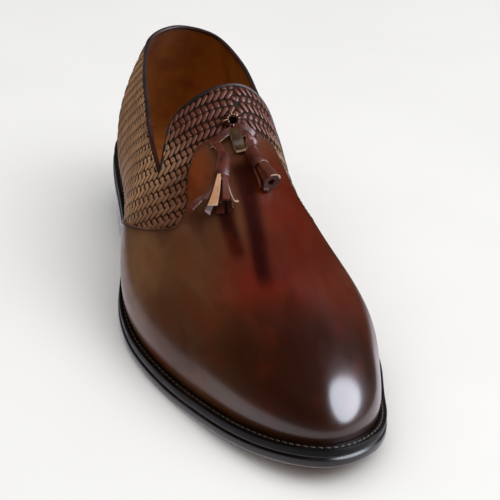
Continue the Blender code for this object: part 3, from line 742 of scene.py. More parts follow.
def add_node(tree: bpy.types.NodeTree, kind: str, inputs: Any = (), out: Any = 0,
             **settings: Any) -> Optional[Socket]:
    """Adds a node to a tree with its settings and links.

    Args:
        tree: Tree to add to.
        kind: Blender's name of the node type.
        inputs: Values, hex colours or output sockets, in order or by the name or number of the input.
        out: Name or number of the output that is wanted.
        settings: Properties of the node.

    Returns:
        The wanted output, or None on a node that has none.
    """
    node = tree.nodes.new(kind)
    for name, value in settings.items():
        setattr(node, name, value)
    for key, value in inputs.items() if isinstance(inputs, dict) else enumerate(inputs):
        socket = node.inputs[key]
        if isinstance(value, Socket):
            tree.links.new(value, socket)
        else:
            socket.default_value = linear(value) if socket.type == "RGBA" else value
    return node.outputs[out] if node.outputs else None


class Pattern(Enum):
    """Procedural patterns: Blender's node and its output."""

    CLOUDS = ("ShaderNodeTexNoise", "Fac")
    CELLS = ("ShaderNodeTexVoronoi", "Distance")


class Paint:
    """One material's nodes: patterns sized in millimetres, layers of dye, soft spots and stacked reliefs."""

    def __init__(self, name: str) -> None:
        """Starts a material with its object coordinates at hand.

        Args:
            name: Name of the material.
        """
        self.material = bpy.data.materials.new(name)
        self.material.use_nodes = True
        self.tree = self.material.node_tree
        self.place = self.node("ShaderNodeTexCoord", out="Object")

    def node(self, kind: str, inputs: Any = (), out: Any = 0, **settings: Any) -> Socket:
        """Adds a node to this material and returns its output."""
        return add_node(self.tree, kind, inputs, out, **settings)

    def pattern(self, size_mm: float, stretch: Triple = (1, 1, 1), kind: Pattern = Pattern.CLOUDS,
                **inputs: float) -> Socket:
        """Lays a pattern of a real size over the piece.

        Args:
            size_mm: Size of one patch or cell.
            stretch: Factor on each axis; below one draws the patches out.
            kind: Which pattern.
            inputs: Other inputs of the pattern.

        Returns:
            The pattern's value.
        """
        node, out = kind.value
        place = self.node("ShaderNodeMapping", {"Vector": self.place, "Scale": stretch})
        return self.node(node, {"Vector": place, "Scale": 1 / (size_mm * MM), **inputs}, out)

    def spot(self, centre: Triple, stretch: Triple, reach: float, core: float,
             strength: float = 1) -> Socket:
        """Makes a soft spot that is full at its centre and 0 beyond its reach.

        Args:
            centre: Centre in millimetres.
            stretch: Factor on each axis of the distance.
            reach: Distance in millimetres where the spot ends.
            core: Distance in millimetres up to which it is full.
            strength: Its value where it is full.

        Returns:
            The spot's value.
        """
        moved = self.node(VECTOR_MATH, (self.place, [c * MM for c in centre]), operation="SUBTRACT")
        scaled = self.node(VECTOR_MATH, (moved, stretch), operation="MULTIPLY")
        far = self.node(VECTOR_MATH, (scaled,), "Value", operation="LENGTH")
        return self.node(MAP_RANGE, (far, core * MM, reach * MM, strength, 0), **SMOOTH)

    def layer(self, colour: Any, tint: Any, mask: Any, *limits: float) -> Socket:
        """Lays a tint over a colour.

        Args:
            colour: The colour below, hex or linked.
            tint: The colour on top, hex or linked.
            mask: The tint's share, or a value that the limits turn into a share.
            limits: Two limits of the value, and then the shares at them if these aren't 0 and 1.

        Returns:
            The colour of both.
        """
        if limits:
            mask = self.node(MAP_RANGE, (mask, *limits), **SMOOTH)
        return self.node("ShaderNodeMix", {0: mask, 6: colour, 7: tint}, 2, data_type="RGBA")

    def relief(self, *levels: tuple[Socket, float, float]) -> Socket:
        """Stacks fine reliefs on the surface.

        Args:
            levels: Height, depth in millimetres and strength of each relief.

        Returns:
            The normal.
        """
        under: dict[str, Any] = {}
        for height, depth_mm, strength in levels:
            relief = {"Height": height, "Distance": depth_mm * MM, "Strength": strength, **under}
            under = {"Normal": self.node("ShaderNodeBump", relief)}
        return under["Normal"]

    def done(self, **sockets: Any) -> Material:
        """Sets or links the shader's sockets.

        Args:
            sockets: Values or output sockets, by the input's name with underscores.

        Returns:
            The material.
        """
        shader = self.tree.nodes["Principled BSDF"]
        for name, value in sockets.items():
            socket = shader.inputs[name.replace("_", " ")]
            if isinstance(value, Socket):
                self.tree.links.new(value, socket)
            else:
                socket.default_value = value
        return self.material


@dataclass(frozen=True)
class PatinaCalf:
    """Smooth calf leather, dyed by hand in layers, waxed and mirror polished at the toe.

    The eye gets a warm brown that is orange on the instep, partly dye and partly a painted reflection of
    orange light, and burns to near black at the toe, with cloudy brush marks, under a clear wax gloss.
    """

    name: str = "patina_calf_waxed"
    brown: str = "643E26"
    cloud: str = "4E2E1A"
    red: str = "681504"
    # Orange on the instep: partly dye, partly a painted reflection of orange light
    glow: str = "702E05"
    ember: str = "5C1803"
    wine: str = "622214"
    shadow: str = "3A100A"
    umber: str = "4A2410"
    # Painted light: a lighter brown on the lateral side, which faces away from the lamps
    flank_painted_light: str = "86603F"
    olive: str = "361C06"
    toe: str = "2A0D03"
    # Painted shade below the tassels
    tassel_shade: str = "240302"
    # Real calf grain is about 0.3 mm; it is drawn twice as coarse so that it shows
    grain_mm: float = 0.7
    cloud_mm: float = 26
    brush_mm: float = 7
    stroke_mm: float = 17
    swell_mm: float = 11

    def make(self) -> Material:
        """Makes the material.

        Returns:
            The material.
        """
        paint = Paint(self.name)
        cloud = paint.pattern(self.cloud_mm, (1, 0.6, 1), Detail=3)
        brush = paint.pattern(self.brush_mm, (1, 0.35, 1))
        strokes = paint.pattern(self.stroke_mm, (1, 0.45, 1), Detail=3, Roughness=0.6)
        colour = paint.layer(self.brown, self.cloud, cloud, 0.35, 0.68)
        # Tinted areas: tint, centre, stretch, reach, core, strength. The shadow spot is painted shade, the
        # lighter spot on the lateral side is painted light and the glow on the instep is partly a painted
        # reflection of orange light; the rest are dye
        for tint, *spot in (
            (self.wine, (20, -82, 50), (0.9, 0.55, 0.6), 34, 8, 0.85),
            (self.red, (-8, -82, 52), (1, 0.7, 0.7), 27, 4, 0.9),
            # Instep glow: partly dye, partly a painted reflection of orange light
            (self.glow, (-25, -11, 71), (1, 0.8, 0.7), 23, 5, 0.95),
            (self.ember, (16, -36, 67), (1, 0.55, 0.6), 31, 6, 0.95),
            # Painted shade
            (self.shadow, (6, -66, 59), (0.7, 1, 1), 26, 8, 0.45),
            (self.umber, (-24, -52, 55), (1, 0.8, 1), 22, 5, 0.5),
            # Painted light on the lateral side
            (self.flank_painted_light, (-50, -22, 36), (1, 0.7, 0.8), 26, 4, 0.6),
            (self.olive, (-21, -97, 40), (0.8, 1, 0.7), 26, 4, 0.7),
            (self.toe, (6, -124, 38), (0.85, 0.95, 0.9), 51, 14, 0.95),
        ):
            colour = paint.layer(colour, tint, paint.spot(*spot))
        # Painted shade below the tassels comes in as the first attribute
        for label, tint, share in (("tassel_shade", self.tassel_shade, 0.95), ("edge", self.toe, 0.45)):
            mark = paint.node("ShaderNodeAttribute", out="Fac", attribute_name=label)
            mark = paint.node(MATH, (mark, share), operation="MULTIPLY")
            colour = paint.layer(colour, tint, mark)
        colour = paint.layer(colour, self.toe, brush, 0.55, 0.8, 0, 0.2)
        colour = paint.layer(colour, self.toe, strokes, 0.5, 0.72, 0, 0.5)
        colour = paint.layer(colour, self.ember, strokes, 0.32, 0.48, 0.3, 0)
        grain = paint.pattern(self.grain_mm, kind=Pattern.CELLS)
        relief = paint.relief((grain, 0.02, 0.25), (paint.pattern(self.swell_mm), 0.2, 0.15))
        gloss = paint.node(MAP_RANGE, (brush, 0.3, 0.75, 0.3, 0.4), **SMOOTH)
        polish = paint.spot((12, -136, 32), (0.8, 0.8, 1), 70, 20)
        coat = paint.node(MAP_RANGE, (polish, 0, 1, 0.2, 1), **SMOOTH)
        return paint.done(Base_Color=colour, Roughness=gloss, Normal=relief, Coat_Weight=coat,
                          Coat_Roughness=0.2, Coat_IOR=1.6, Specular_IOR_Level=0.2)


@dataclass(frozen=True)
class WovenCalf:
    """Narrow calf strips woven close, dyed brown with a rubbed taupe face.

    The eye gets a raised twill whose strips catch the light along their crowns, each a slightly different
    brown.
    """

    name: str = "woven_calf_strips"
    face: str = "B88A64"
    deep: str = "967050"
    low: str = "724930"
    dyed: str = "5A2E18"
    # Darker brown towards the front, next to the vamp
    band: str = "541E12"
    # Painted shade on the low sides of the strips
    recess_shade: str = "452A1A"
    roughness: float = 0.42
    cloud_mm: float = 18
    grain_mm: float = 0.6

    def make(self) -> Material:
        """Makes the material.

        Returns:
            The material.
        """
        paint = Paint(self.name)
        tone, crown = (paint.node("ShaderNodeAttribute", out="Fac", attribute_name=label)
                       for label in ("tone", "crown"))
        colour = paint.layer(self.face, self.deep, tone, 0, 1)
        colour = paint.layer(colour, self.deep, paint.pattern(self.cloud_mm), 0.35, 0.7, 0, 0.4)
        _, y, z = paint.node("ShaderNodeSeparateXYZ", (paint.place,)).node.outputs
        # The strips grow darker towards the front, next to the vamp
        colour = paint.layer(colour, self.low, y, 0.012, -0.012, 0, 0.8)
        colour = paint.layer(colour, self.dyed, y, -0.008, -0.026, 0, 0.75)
        colour = paint.layer(colour, self.dyed, paint.spot((-24, -14, 72), (1, 1, 1), 16.5, 6, 0.8))
        high = paint.node(MAP_RANGE, (z, 0.070, 0.088, 0, 0.9), **SMOOTH)
        front = paint.node(MAP_RANGE, (y, 0.050, 0.036), **SMOOTH)
        colour = paint.layer(colour, self.band, paint.node(MATH, (high, front), operation="MULTIPLY"))
        # Painted shade: the low sides of each strip darken towards a dark brown
        colour = paint.layer(self.recess_shade, colour, crown, 0.15, 0.75)
        relief = paint.relief((paint.pattern(self.grain_mm), 0.05, 0.4))
        return paint.done(Base_Color=colour, Roughness=self.roughness, Normal=relief, Coat_Weight=0.15,
                          Coat_Roughness=0.22, Specular_IOR_Level=0.3)


@dataclass(frozen=True)
class PlainLeather:
    """A plain leather of one dye: calf lining, piping, back strap or tassel strips.

    The eye gets a fine even grain, slight clouding of the dye and a gloss that depends on the wax.
    """

    name: str
    colour: str
    cloud: str
    roughness: float
    coat: float = 0
    coat_roughness: float = 0.2
    grain_mm: float = 0.8
    cloud_mm: float = 14
    wax_mm: float = 6
    shine: float = 0.5

    def make(self) -> Material:
        """Makes the material.

        Returns:
            The material.
        """
        paint = Paint(self.name)
        cloud = paint.pattern(self.cloud_mm, Detail=3)
        wax = paint.pattern(self.wax_mm)
        gloss = paint.node(MAP_RANGE, (wax, 0.3, 0.7, self.roughness - 0.05, self.roughness + 0.06), **SMOOTH)
        return paint.done(Base_Color=paint.layer(self.colour, self.cloud, cloud, 0.35, 0.7), Roughness=gloss,
                          Normal=paint.relief((paint.pattern(self.grain_mm, kind=Pattern.CELLS), 0.05, 0.5)),
                          Coat_Weight=self.coat, Coat_Roughness=self.coat_roughness,
                          Specular_IOR_Level=self.shine)


@dataclass(frozen=True)
class EdgeDressing:
    """Leather edge, scraped, inked near black and burnished with hot wax.

    The eye gets a hard gloss with fine lines drawn along the edge by the iron.
    """

    name: str = "edge_inked_and_waxed"
    ink: str = "14100F"
    worn: str = "3A2A22"
    coat: float = 0.3
    matt: float = 0.26
    shine: float = 0.4
    line_mm: float = 0.7
    wear_mm: float = 11

    def make(self) -> Material:
        """Makes the material.

        Returns:
            The material.
        """
        paint = Paint(self.name)
        wear = paint.pattern(self.wear_mm, (1, 1, 0.4), Detail=3)
        lines = paint.pattern(self.line_mm, (0.05, 0.05, 1), Detail=1)
        gloss = paint.node(MAP_RANGE, (wear, 0.3, 0.75, self.matt, self.matt + 0.16), **SMOOTH)
        colour = paint.layer(self.ink, self.worn, wear, 0.5, 0.78, 0, 0.55)
        relief = paint.relief((lines, 0.06, 0.35))
        return paint.done(Base_Color=colour, Roughness=gloss, Normal=relief, Coat_Weight=self.coat,
                          Coat_Roughness=0.18, Specular_IOR_Level=self.shine)


@dataclass(frozen=True)
class SoleLeather:
    """Oak-tanned sole leather, sanded, stained from tan at the toe to plum at the waist, and waxed.

    The eye gets a warm stain that deepens towards the arch, fine growth wrinkles, pores and a dark glossy
    waist.
    """

    name: str = "oak_tanned_sole_stained"
    tan: str = "F0A04A"
    orange: str = "E07A38"
    rose: str = "C2503C"
    plum: str = "5A3438"
    waist: str = "42241A"
    waist_dark: str = "2A1612"
    waist_pale: str = "8A5A3C"
    line: str = "E8B078"
    # Front of the dark waist along Y at the middle of the sole, its bow towards the toe and half its width
    waist_front: float = 16
    waist_bow: float = 9
    waist_half: float = 32

    def make(self) -> Material:
        """Makes the material.

        Returns:
            The material.
        """
        paint = Paint(self.name)
        x, y, _ = paint.node("ShaderNodeSeparateXYZ", (paint.place,)).node.outputs
        cloud = paint.pattern(30, Detail=3)
        along = paint.node(MATH, (cloud, 0.05, y), operation="MULTIPLY_ADD")
        colour = paint.layer(self.tan, self.orange, along, -0.105, -0.055)
        colour = paint.layer(colour, self.rose, along, -0.05, 0)
        colour = paint.layer(colour, self.plum, along, -0.012, 0.036)
        wrinkle = paint.pattern(3.2, (0.45, 1, 1), Detail=4, Roughness=0.65)
        colour = paint.layer(colour, self.rose, wrinkle, 0.56, 0.72, 0, 0.3)
        # The waist's front edge bows towards the toe in the middle, with a pale line before it
        square = paint.node(MATH, (x, x), operation="MULTIPLY")
        bow = -self.waist_bow / (self.waist_half ** 2 * MM)
        edge = paint.node(MATH, (square, bow, y), operation="MULTIPLY_ADD")
        front = (self.waist_front - self.waist_bow) * MM
        in_waist = paint.node(MAP_RANGE, (edge, front, front + 0.8 * MM), **SMOOTH)
        dark = paint.layer(self.waist, self.waist_dark, paint.pattern(16, Detail=3), 0.35, 0.7)
        dark = paint.layer(dark, self.waist_pale, x, -0.03, 0.03, 0, 0.5)
        colour = paint.layer(colour, dark, in_waist)
        start = paint.node(MAP_RANGE, (edge, front - 1.3 * MM, front - 0.6 * MM, 0, 0.7), **SMOOTH)
        end = paint.node(MAP_RANGE, (edge, front - 0.3 * MM, front + 0.3 * MM, 1, 0), **SMOOTH)
        colour = paint.layer(colour, self.line, paint.node(MATH, (start, end), operation="MULTIPLY"))
        polish = paint.node(MAP_RANGE, (in_waist, 0, 1, 0.42, 0.26), **SMOOTH)
        gloss = paint.node(MATH, (cloud, 0.08, polish), operation="MULTIPLY_ADD")
        relief = paint.relief((wrinkle, 0.2, 0.5), (paint.pattern(1.3, kind=Pattern.CELLS), 0.06, 0.4))
        return paint.done(Base_Color=colour, Roughness=gloss, Normal=relief, Coat_Weight=0.45,
                          Coat_Roughness=0.2)


@dataclass(frozen=True)
class TopPieceLeather:
    """Front of the heel's top piece: hard leather, sanded smooth and inked grey, with fine cream streaks that
    are partly a painted sheen.
    """

    name: str = "top_piece_leather_sanded"
    grey: str = "625C68"
    cream: str = "A79F9A"
    dark: str = "48424C"

    def make(self) -> Material:
        """Makes the material.

        Returns:
            The material.
        """
        paint = Paint(self.name)
        streaks = paint.pattern(4, (0.12, 1, 1), Detail=3)
        # Cream streaks: partly sanding marks, partly a painted sheen
        colour = paint.layer(self.grey, self.cream, streaks, 0.35, 0.7, 0, 0.3)
        colour = paint.layer(colour, self.dark, paint.pattern(14), 0.4, 0.8, 0, 0.35)
        relief = paint.relief((streaks, 0.05, 0.3))
        return paint.done(Base_Color=colour, Roughness=0.34, Normal=relief, Coat_Weight=0.4,
                          Coat_Roughness=0.25)


@dataclass(frozen=True)
class SlateRubber:
    """Moulded heel rubber, slate grey and matt, with a fine pebbled skin and scuffed corners."""

    name: str = "heel_rubber_slate"
    colour: str = "4E586C"
    scuff: str = "6F7889"
    pebble_mm: float = 0.9
    scuff_mm: float = 9

    def make(self) -> Material:
        """Makes the material.

        Returns:
            The material.
        """
        paint = Paint(self.name)
        scuffs = paint.pattern(self.scuff_mm, Detail=3)
        relief = paint.relief((paint.pattern(self.pebble_mm, kind=Pattern.CELLS), 0.08, 0.5))
        colour = paint.layer(self.colour, self.scuff, scuffs, 0.45, 0.8, 0, 0.45)
        return paint.done(Base_Color=colour, Roughness=0.62, Normal=relief)


@dataclass(frozen=True)
class WaxedThread:
    """Waxed linen thread, laid from fine plies that show as slanted ribs across each stitch."""

    name: str
    colour: str
    roughness: float = 0.5
    groove: str = "0C0807"
    ply_mm: float = 0.5

    def make(self) -> Material:
        """Makes the material.

        Returns:
            The material.
        """
        paint = Paint(self.name)
        plies = paint.pattern(self.ply_mm, (1, 0.5, 1), Detail=1)
        return paint.done(Base_Color=paint.layer(self.colour, self.groove, plies, 0.4, 0.65, 0, 0.5),
                          Roughness=self.roughness, Normal=paint.relief((plies, 0.08, 0.6)))


@dataclass(frozen=True)
class BrassPin:
    """Drawn brass pins, cut off and filed flush, with a dull brown tarnish in their scratches."""

    name: str = "brass_pin_filed"
    bright: str = "C9A25A"
    tarnish: str = "6E4E22"
    scratch_mm: float = 0.6

    def make(self) -> Material:
        """Makes the material.

        Returns:
            The material.
        """
        paint = Paint(self.name)
        scratches = paint.pattern(self.scratch_mm, (0.3, 1, 1))
        return paint.done(Base_Color=paint.layer(self.bright, self.tarnish, scratches, 0.45, 0.7), Metallic=1,
                          Roughness=0.34, Normal=paint.relief((scratches, 0.02, 0.5)))


@dataclass(frozen=True)
class StudioFloor:
    """Painted studio floor, matt white, with the faintest mottle of the roller."""

    name: str = "studio_floor_paint"
    white: str = "F4F3F1"
    shade: str = "F2F1EF"
    mottle_mm: float = 120

    def make(self) -> Material:
        """Makes the material.

        Returns:
            The material.
        """
        paint = Paint(self.name)
        mottle = paint.pattern(self.mottle_mm)
        return paint.done(Base_Color=paint.layer(self.white, self.shade, mottle, 0.35, 0.65), Roughness=0.85,
                          Specular_IOR_Level=0.1)


class Finishes:
    """Every finish of the shoe, made once."""

    def __init__(self) -> None:
        """Makes the materials."""
        plain = PlainLeather
        self.vamp = PatinaCalf().make()
        self.strips = WovenCalf().make()
        self.ground = plain("woven_calf_ground", "1E110B", "2C1A10", 0.6, shine=0.1).make()
        self.piping = plain("calf_piping_waxed", "20100A", "34190F", 0.55, 0.06).make()
        self.lining = plain("vegetable_tanned_lining", "A8611C", "8C4A12", 0.55, grain_mm=1).make()
        self.sock = plain("vegetable_tanned_sock", "9A5A22", "7E4416", 0.5, 0.15).make()
        self.edge = EdgeDressing().make()
        self.welt = EdgeDressing("welt_inked_and_waxed", "0A0706", "1A110D", 0.04, 0.4, 0.15).make()
        self.sole = SoleLeather().make()
        self.top_leather = TopPieceLeather().make()
        self.rubber = SlateRubber().make()
        self.tassel = plain("tassel_calf_waxed", "5A2A1A", "3E170D", 0.4, 0.25, cloud_mm=6).make()
        self.tan_strip = plain("tassel_calf_rubbed_tan", "CA9874", "AC7C54", 0.36, 0.5, cloud_mm=7).make()
        # Pale cut edges, pale enough to also give the glints of the tassels and thong: partly a painted
        # highlight
        self.cut = plain("leather_cut_edge_and_glint", "F0D2B8", "D0A88A", 0.5, 0.2, cloud_mm=3).make()
        self.thong = plain("thong_calf_waxed", "4E3A1E", "33200F", 0.3, 0.6, cloud_mm=5).make()
        self.hole = plain("punched_hole_shadow", "060302", "0A0504", 0.8, shine=0).make()
        self.thread = WaxedThread("linen_thread_dark", "2E1A12").make()
        self.welt_thread = WaxedThread("linen_thread_welt", "4A382C").make()
        self.strap_thread = WaxedThread("linen_thread_strap", "6A4830").make()
        self.sole_thread = WaxedThread("linen_thread_sole", "B98A5C").make()
        self.brass = BrassPin().make()
        self.floor = StudioFloor().make()


class Grains:
    """Rounded bars set on points by Geometry Nodes: woven strips, stitches and pins."""

    def __init__(self) -> None:
        """Builds the node tree with its named inputs."""
        self.tree = bpy.data.node_groups.new("bars_on_points", "GeometryNodeTree")
        add = partial(add_node, self.tree)
        new = self.tree.interface.new_socket
        numbers = dict.fromkeys(("Length", "Width", "Height", "Squareness", "Play"), "Float")
        kinds = {"Points": "Geometry", **numbers, "Seed": "Int", "Material": "Material"}
        self.ids = {name: new(name, in_out="INPUT", socket_type="NodeSocket" + kind).identifier
                    for name, kind in kinds.items()}
        new("Bars", in_out="OUTPUT", socket_type="NodeSocketGeometry")
        given = add("NodeGroupInput").node.outputs
        # A ball, squared up and scaled to the bar's size, that keeps its height as the crown
        ball = add("GeometryNodeMeshUVSphere", {"Segments": 8, "Rings": 6, "Radius": 1}, "Mesh")
        place = add("GeometryNodeInputPosition")
        size = add(VECTOR_MATH, (place,), operation="ABSOLUTE")
        power = add(VECTOR_MATH, (size, given["Squareness"]), operation="POWER")
        sign = add(VECTOR_MATH, (place,), operation="SIGN")
        square = add(VECTOR_MATH, (power, sign), operation="MULTIPLY")
        sizes = add("ShaderNodeCombineXYZ", [given[name] for name in ("Length", "Width", "Height")])
        halves = add(VECTOR_MATH, {0: sizes, "Scale": 0.5}, operation="SCALE")
        shape = add(VECTOR_MATH, (square, halves), operation="MULTIPLY")
        height = add("ShaderNodeSeparateXYZ", (place,), "Z")
        crowned = add("GeometryNodeStoreNamedAttribute", {"Geometry": ball, "Name": "crown", "Value": height},
                      data_type="FLOAT", domain="POINT")
        bar = add("GeometryNodeSetPosition", {"Geometry": crowned, "Position": shape})
        # One bar on each point, turned and scaled by what the point holds, with a random tone
        out, along, share = (add("GeometryNodeInputNamedAttribute", {"Name": name}, data_type="FLOAT_VECTOR")
                             for name in ("out", "along", "sizes"))
        turn = add("FunctionNodeAxesToRotation", (out, along), primary_axis="Z", secondary_axis="X")
        chance, tone = (add("FunctionNodeRandomValue", {2: low, 3: 1, "Seed": given["Seed"]}, 1,
                            data_type="FLOAT") for low in (-1, 0))
        play = add(MATH, (chance, given["Play"], 1), operation="MULTIPLY_ADD")
        scale = add(VECTOR_MATH, {0: share, "Scale": play}, operation="SCALE")
        bars = add("GeometryNodeInstanceOnPoints", {"Points": given["Points"], "Instance": bar,
                                                    "Rotation": turn, "Scale": scale})
        toned = add("GeometryNodeStoreNamedAttribute", {"Geometry": bars, "Name": "tone", "Value": tone},
                    data_type="FLOAT", domain="INSTANCE")
        soft = add("GeometryNodeSetShadeSmooth", {"Geometry": add("GeometryNodeRealizeInstances", (toned,))})
        dressed = add("GeometryNodeSetMaterial", {"Geometry": soft, "Material": given["Material"]})
        add("NodeGroupOutput", (dressed,))

    def make(self, name: str, spots: "Spots", size: Triple, material: Material,
             squareness: float = 0.6, play: float = 0.0, seed: int = 1) -> Piece:
        """Sets a bar on every spot and turns the result into a plain mesh.

        Args:
            name: Name of the piece.
            spots: Where the bars sit and how they lie.
            size: Length, width and height of a bar.
            material: Finish of the bars.
            squareness: 1 for an oval bar, towards 0 for a square one.
            play: Random share of the width and height.
            seed: Seed of the random values.

        Returns:
            The new object.
        """
        holder_mesh = bpy.data.meshes.new(name + "_points")
        holder_mesh.from_pydata((spots.points * MM).tolist(), [], [])
        for label, values in (("out", spots.out), ("along", spots.along), ("sizes", spots.sizes)):
            layer = holder_mesh.attributes.new(label, "FLOAT_VECTOR", "POINT")
            layer.data.foreach_set("vector", np.ascontiguousarray(values, dtype=np.float32).ravel())
        holder = show(bpy.data.objects.new(name + "_points", holder_mesh))
        modifier = holder.modifiers.new("bars", "NODES")
        modifier.node_group = self.tree
        values = dict(zip(("Length", "Width", "Height"), (float(s) * MM for s in size)))
        values |= {"Squareness": float(squareness), "Play": float(play), "Seed": seed, "Material": material}
        for label, value in values.items():
            modifier[self.ids[label]] = value
        bpy.context.view_layer.update()
        evaluated = holder.evaluated_get(bpy.context.evaluated_depsgraph_get())
        mesh = bpy.data.meshes.new_from_object(evaluated)
        mesh.name = name
        holder.modifiers.remove(modifier)
        bpy.data.objects.remove(holder, do_unlink=True)
        bpy.data.meshes.remove(holder_mesh)
        if not mesh.materials:
            mesh.materials.append(material)
        return show(bpy.data.objects.new(name, mesh))


@dataclass
class Spots:
    """Points on the shoe with the directions that a bar lies in, and the shares of its full size."""

    points: Array
    out: Array
    along: Array
    sizes: Array

    @staticmethod
    def on_path(path: Array, out: Array, pitch: float, margin: float = 0) -> "Spots":
        """Sets spots at an even pitch along a path, such as a row of stitches.

        Args:
            path: Points of the row.
            out: Direction out of the shoe at each point.
            pitch: Distance between spots.
            margin: Length left free at both ends.

        Returns:
            The spots.
        """
        length = along_path(path)[-1]
        count = max(2, int((length - 2 * margin) / pitch))
        at = np.linspace(margin, length - margin, count)
        points, outs = carried(path, path, at), unit(carried(path, out, at))
        return Spots(points, outs, unit(np.gradient(points, axis=0)), np.ones((count, 3)))

    @staticmethod
    def underneath(points: Array) -> "Spots":
        """Returns spots that face the floor, such as the heads of pins."""
        down, along = (np.tile(way, (len(points), 1)) for way in ((0, 0, -1), (1, 0, 0)))
        return Spots(points, down, along, np.ones(points.shape))


class Crease(NamedTuple):
    """A soft trough in the vamp: places it runs through (angle, rise), its half width, its depth and the
    strength of the painted shade below the tassels along it.
    """

    places: tuple[Pair, ...]
    width: float
    depth: float
    tassel_shade: float


class UpperSurface:
    """The last's surface as one fine mesh, cut along the topline, the notches and the tongue's edge."""

    def __init__(self, last: Last, vamp: Array, band: int, quarter: int, tongue: int, wall: int,
                 crown: int) -> None:
        """Lays the sheets out and welds them.

        Args:
            last: The form.
            vamp: Mesh columns over the vamp, 0 at the toe line to 1 at the seam.
            band: Steps over the band.
            quarter: Steps from the notch to the heel back.
            tongue: Steps from the notch line to the tongue's free edge.
            wall: Rows up to the notch.
            crown: Rows above it.
        """
        self.last = last
        self.notch_rise = collar_rise(last, 2)
        front = np.concatenate([vamp, np.linspace(1, 2, band + 1)[1:]])
        low = np.linspace(0, 1, wall + 1)
        high = np.linspace(0, 1, crown + 1) ** CROWN_SPACING
        rises = np.concatenate([self.notch_rise * low, self.notch_rise + (1 - self.notch_rise) * high[1:]])
        self.quarter_columns = np.linspace(2, 3, quarter + 1)
        self.topline = np.array([collar_rise(last, column) for column in self.quarter_columns])
        share = np.linspace(0, 1, tongue + 1)

        front_column, front_rise = np.meshgrid(front, rises, indexing="ij")
        quarter_column = np.broadcast_to(self.quarter_columns[:, None], (quarter + 1, wall + 1))
        quarter_rise = self.topline[:, None] * low[None, :]
        start = self.notch_rise + (TONGUE_CORNER_RISE - self.notch_rise) * share[:, None]
        tongue_rise = start + (1 - start) * high[None, :]
        notch = panel_angle(np.full(tongue_rise.shape, 2), tongue_rise)
        rows = np.linspace(0, CAD_CROWN_ROWS, crown + 1)
        free_edge = TONGUE_ANGLE - TONGUE_CORNER_ROUND * np.exp(-rows)[None, :]
        tongue_angle = notch + (free_edge - notch) * share[:, None]
        # Column, angle and rise of each sheet; the tongue's columns stay next to the notch
        sheets = [
            (front_column, panel_angle(front_column, front_rise), front_rise),
            (quarter_column, panel_angle(quarter_column, quarter_rise), quarter_rise),
            (2 + np.broadcast_to(share[:, None], tongue_rise.shape) * 0.1, tongue_angle, tongue_rise),
        ]
        points, faces, column, angle, rise, from_seam = [], [], [], [], [], []
        self.edges: dict[tuple[str, Side], Array] = {}
        count = 0
        for side in Side:
            for number, (sheet_column, sheet_angle, sheet_rise) in enumerate(sheets):
                shape = sheet_angle.shape
                place = last.point(side.value * sheet_angle, sheet_rise)
                index = count + np.arange(sheet_angle.size).reshape(shape)
                quad = sheet(*shape, count)
                faces.append(quad if side is Side.MEDIAL else quad[:, ::-1])
                gap = np.full(shape, OFF_VAMP)
                if number == 0:
                    seam = len(vamp) - 1
                    step = np.linalg.norm(np.diff(place, axis=0), axis=-1)
                    travel = np.concatenate([np.zeros((1, shape[1])), np.cumsum(step, axis=0)])
                    gap = travel[seam] - travel
                    self.edges["seam", side] = index[seam]
                elif number == 1:
                    self.edges["collar", side] = index[:, -1]
                else:
                    self.edges["tongue_foot", side] = index[:, 0]
                    self.edges["tongue_edge", side] = index[-1]
                points.append(place.reshape(-1, 3))
                column.append(np.asarray(sheet_column).ravel())
                angle.append(side.value * sheet_angle.ravel())
                rise.append(sheet_rise.ravel())
                from_seam.append(gap.ravel())
                count += sheet_angle.size
        all_points = np.concatenate(points)
        # Welds points closer than a thousandth of a millimetre; the shift keeps zeros off a rounding limit
        rounded = np.round(all_points + 0.000317, 3)
        _, first, weld = np.unique(rounded, axis=0, return_index=True, return_inverse=True)
        weld = weld.ravel()
        self.points = all_points[first]
        self.angle, self.rise, self.from_seam = (
            np.concatenate(values)[first] for values in (angle, rise, from_seam))
        self.faces = weld[np.concatenate(faces)]
        self.face_column = np.concatenate(column)[np.concatenate(faces)].mean(axis=1)
        self.edges = {key: weld[index] for key, index in self.edges.items()}
        self.out = self.normals(self.points)

    def normals(self, points: Array) -> Array:
        """Averages the faces' normals.

        Args:
            points: Points of the mesh.

        Returns:
            Unit normals at the points.
        """
        a, b, c, d = (points[self.faces[:, k]] for k in range(4))
        face = np.cross(c - a, d - b)
        total = np.zeros_like(points)
        for k in range(4):
            np.add.at(total, self.faces[:, k], face)
        return unit(total)

    def lifted(self, lift: Any) -> Array:
        """Returns the points moved out of the last by a lift, one or one a point."""
        return self.points + self.out * np.broadcast_to(lift, len(self.points))[:, None]

    def rim(self) -> tuple[Array, Array]:
        """Joins the free edges of both sides.

        Returns:
            Point indices of the collar's edge and of the tongue's, side to side.
        """
        collars = [self.edges["collar", side] for side in Side]
        tongues = [np.concatenate([self.edges["tongue_foot", side], self.edges["tongue_edge", side][1:]])
                   for side in Side]
        return tuple(np.concatenate([left, right[::-1][1:]]) for left, right in (collars, tongues))


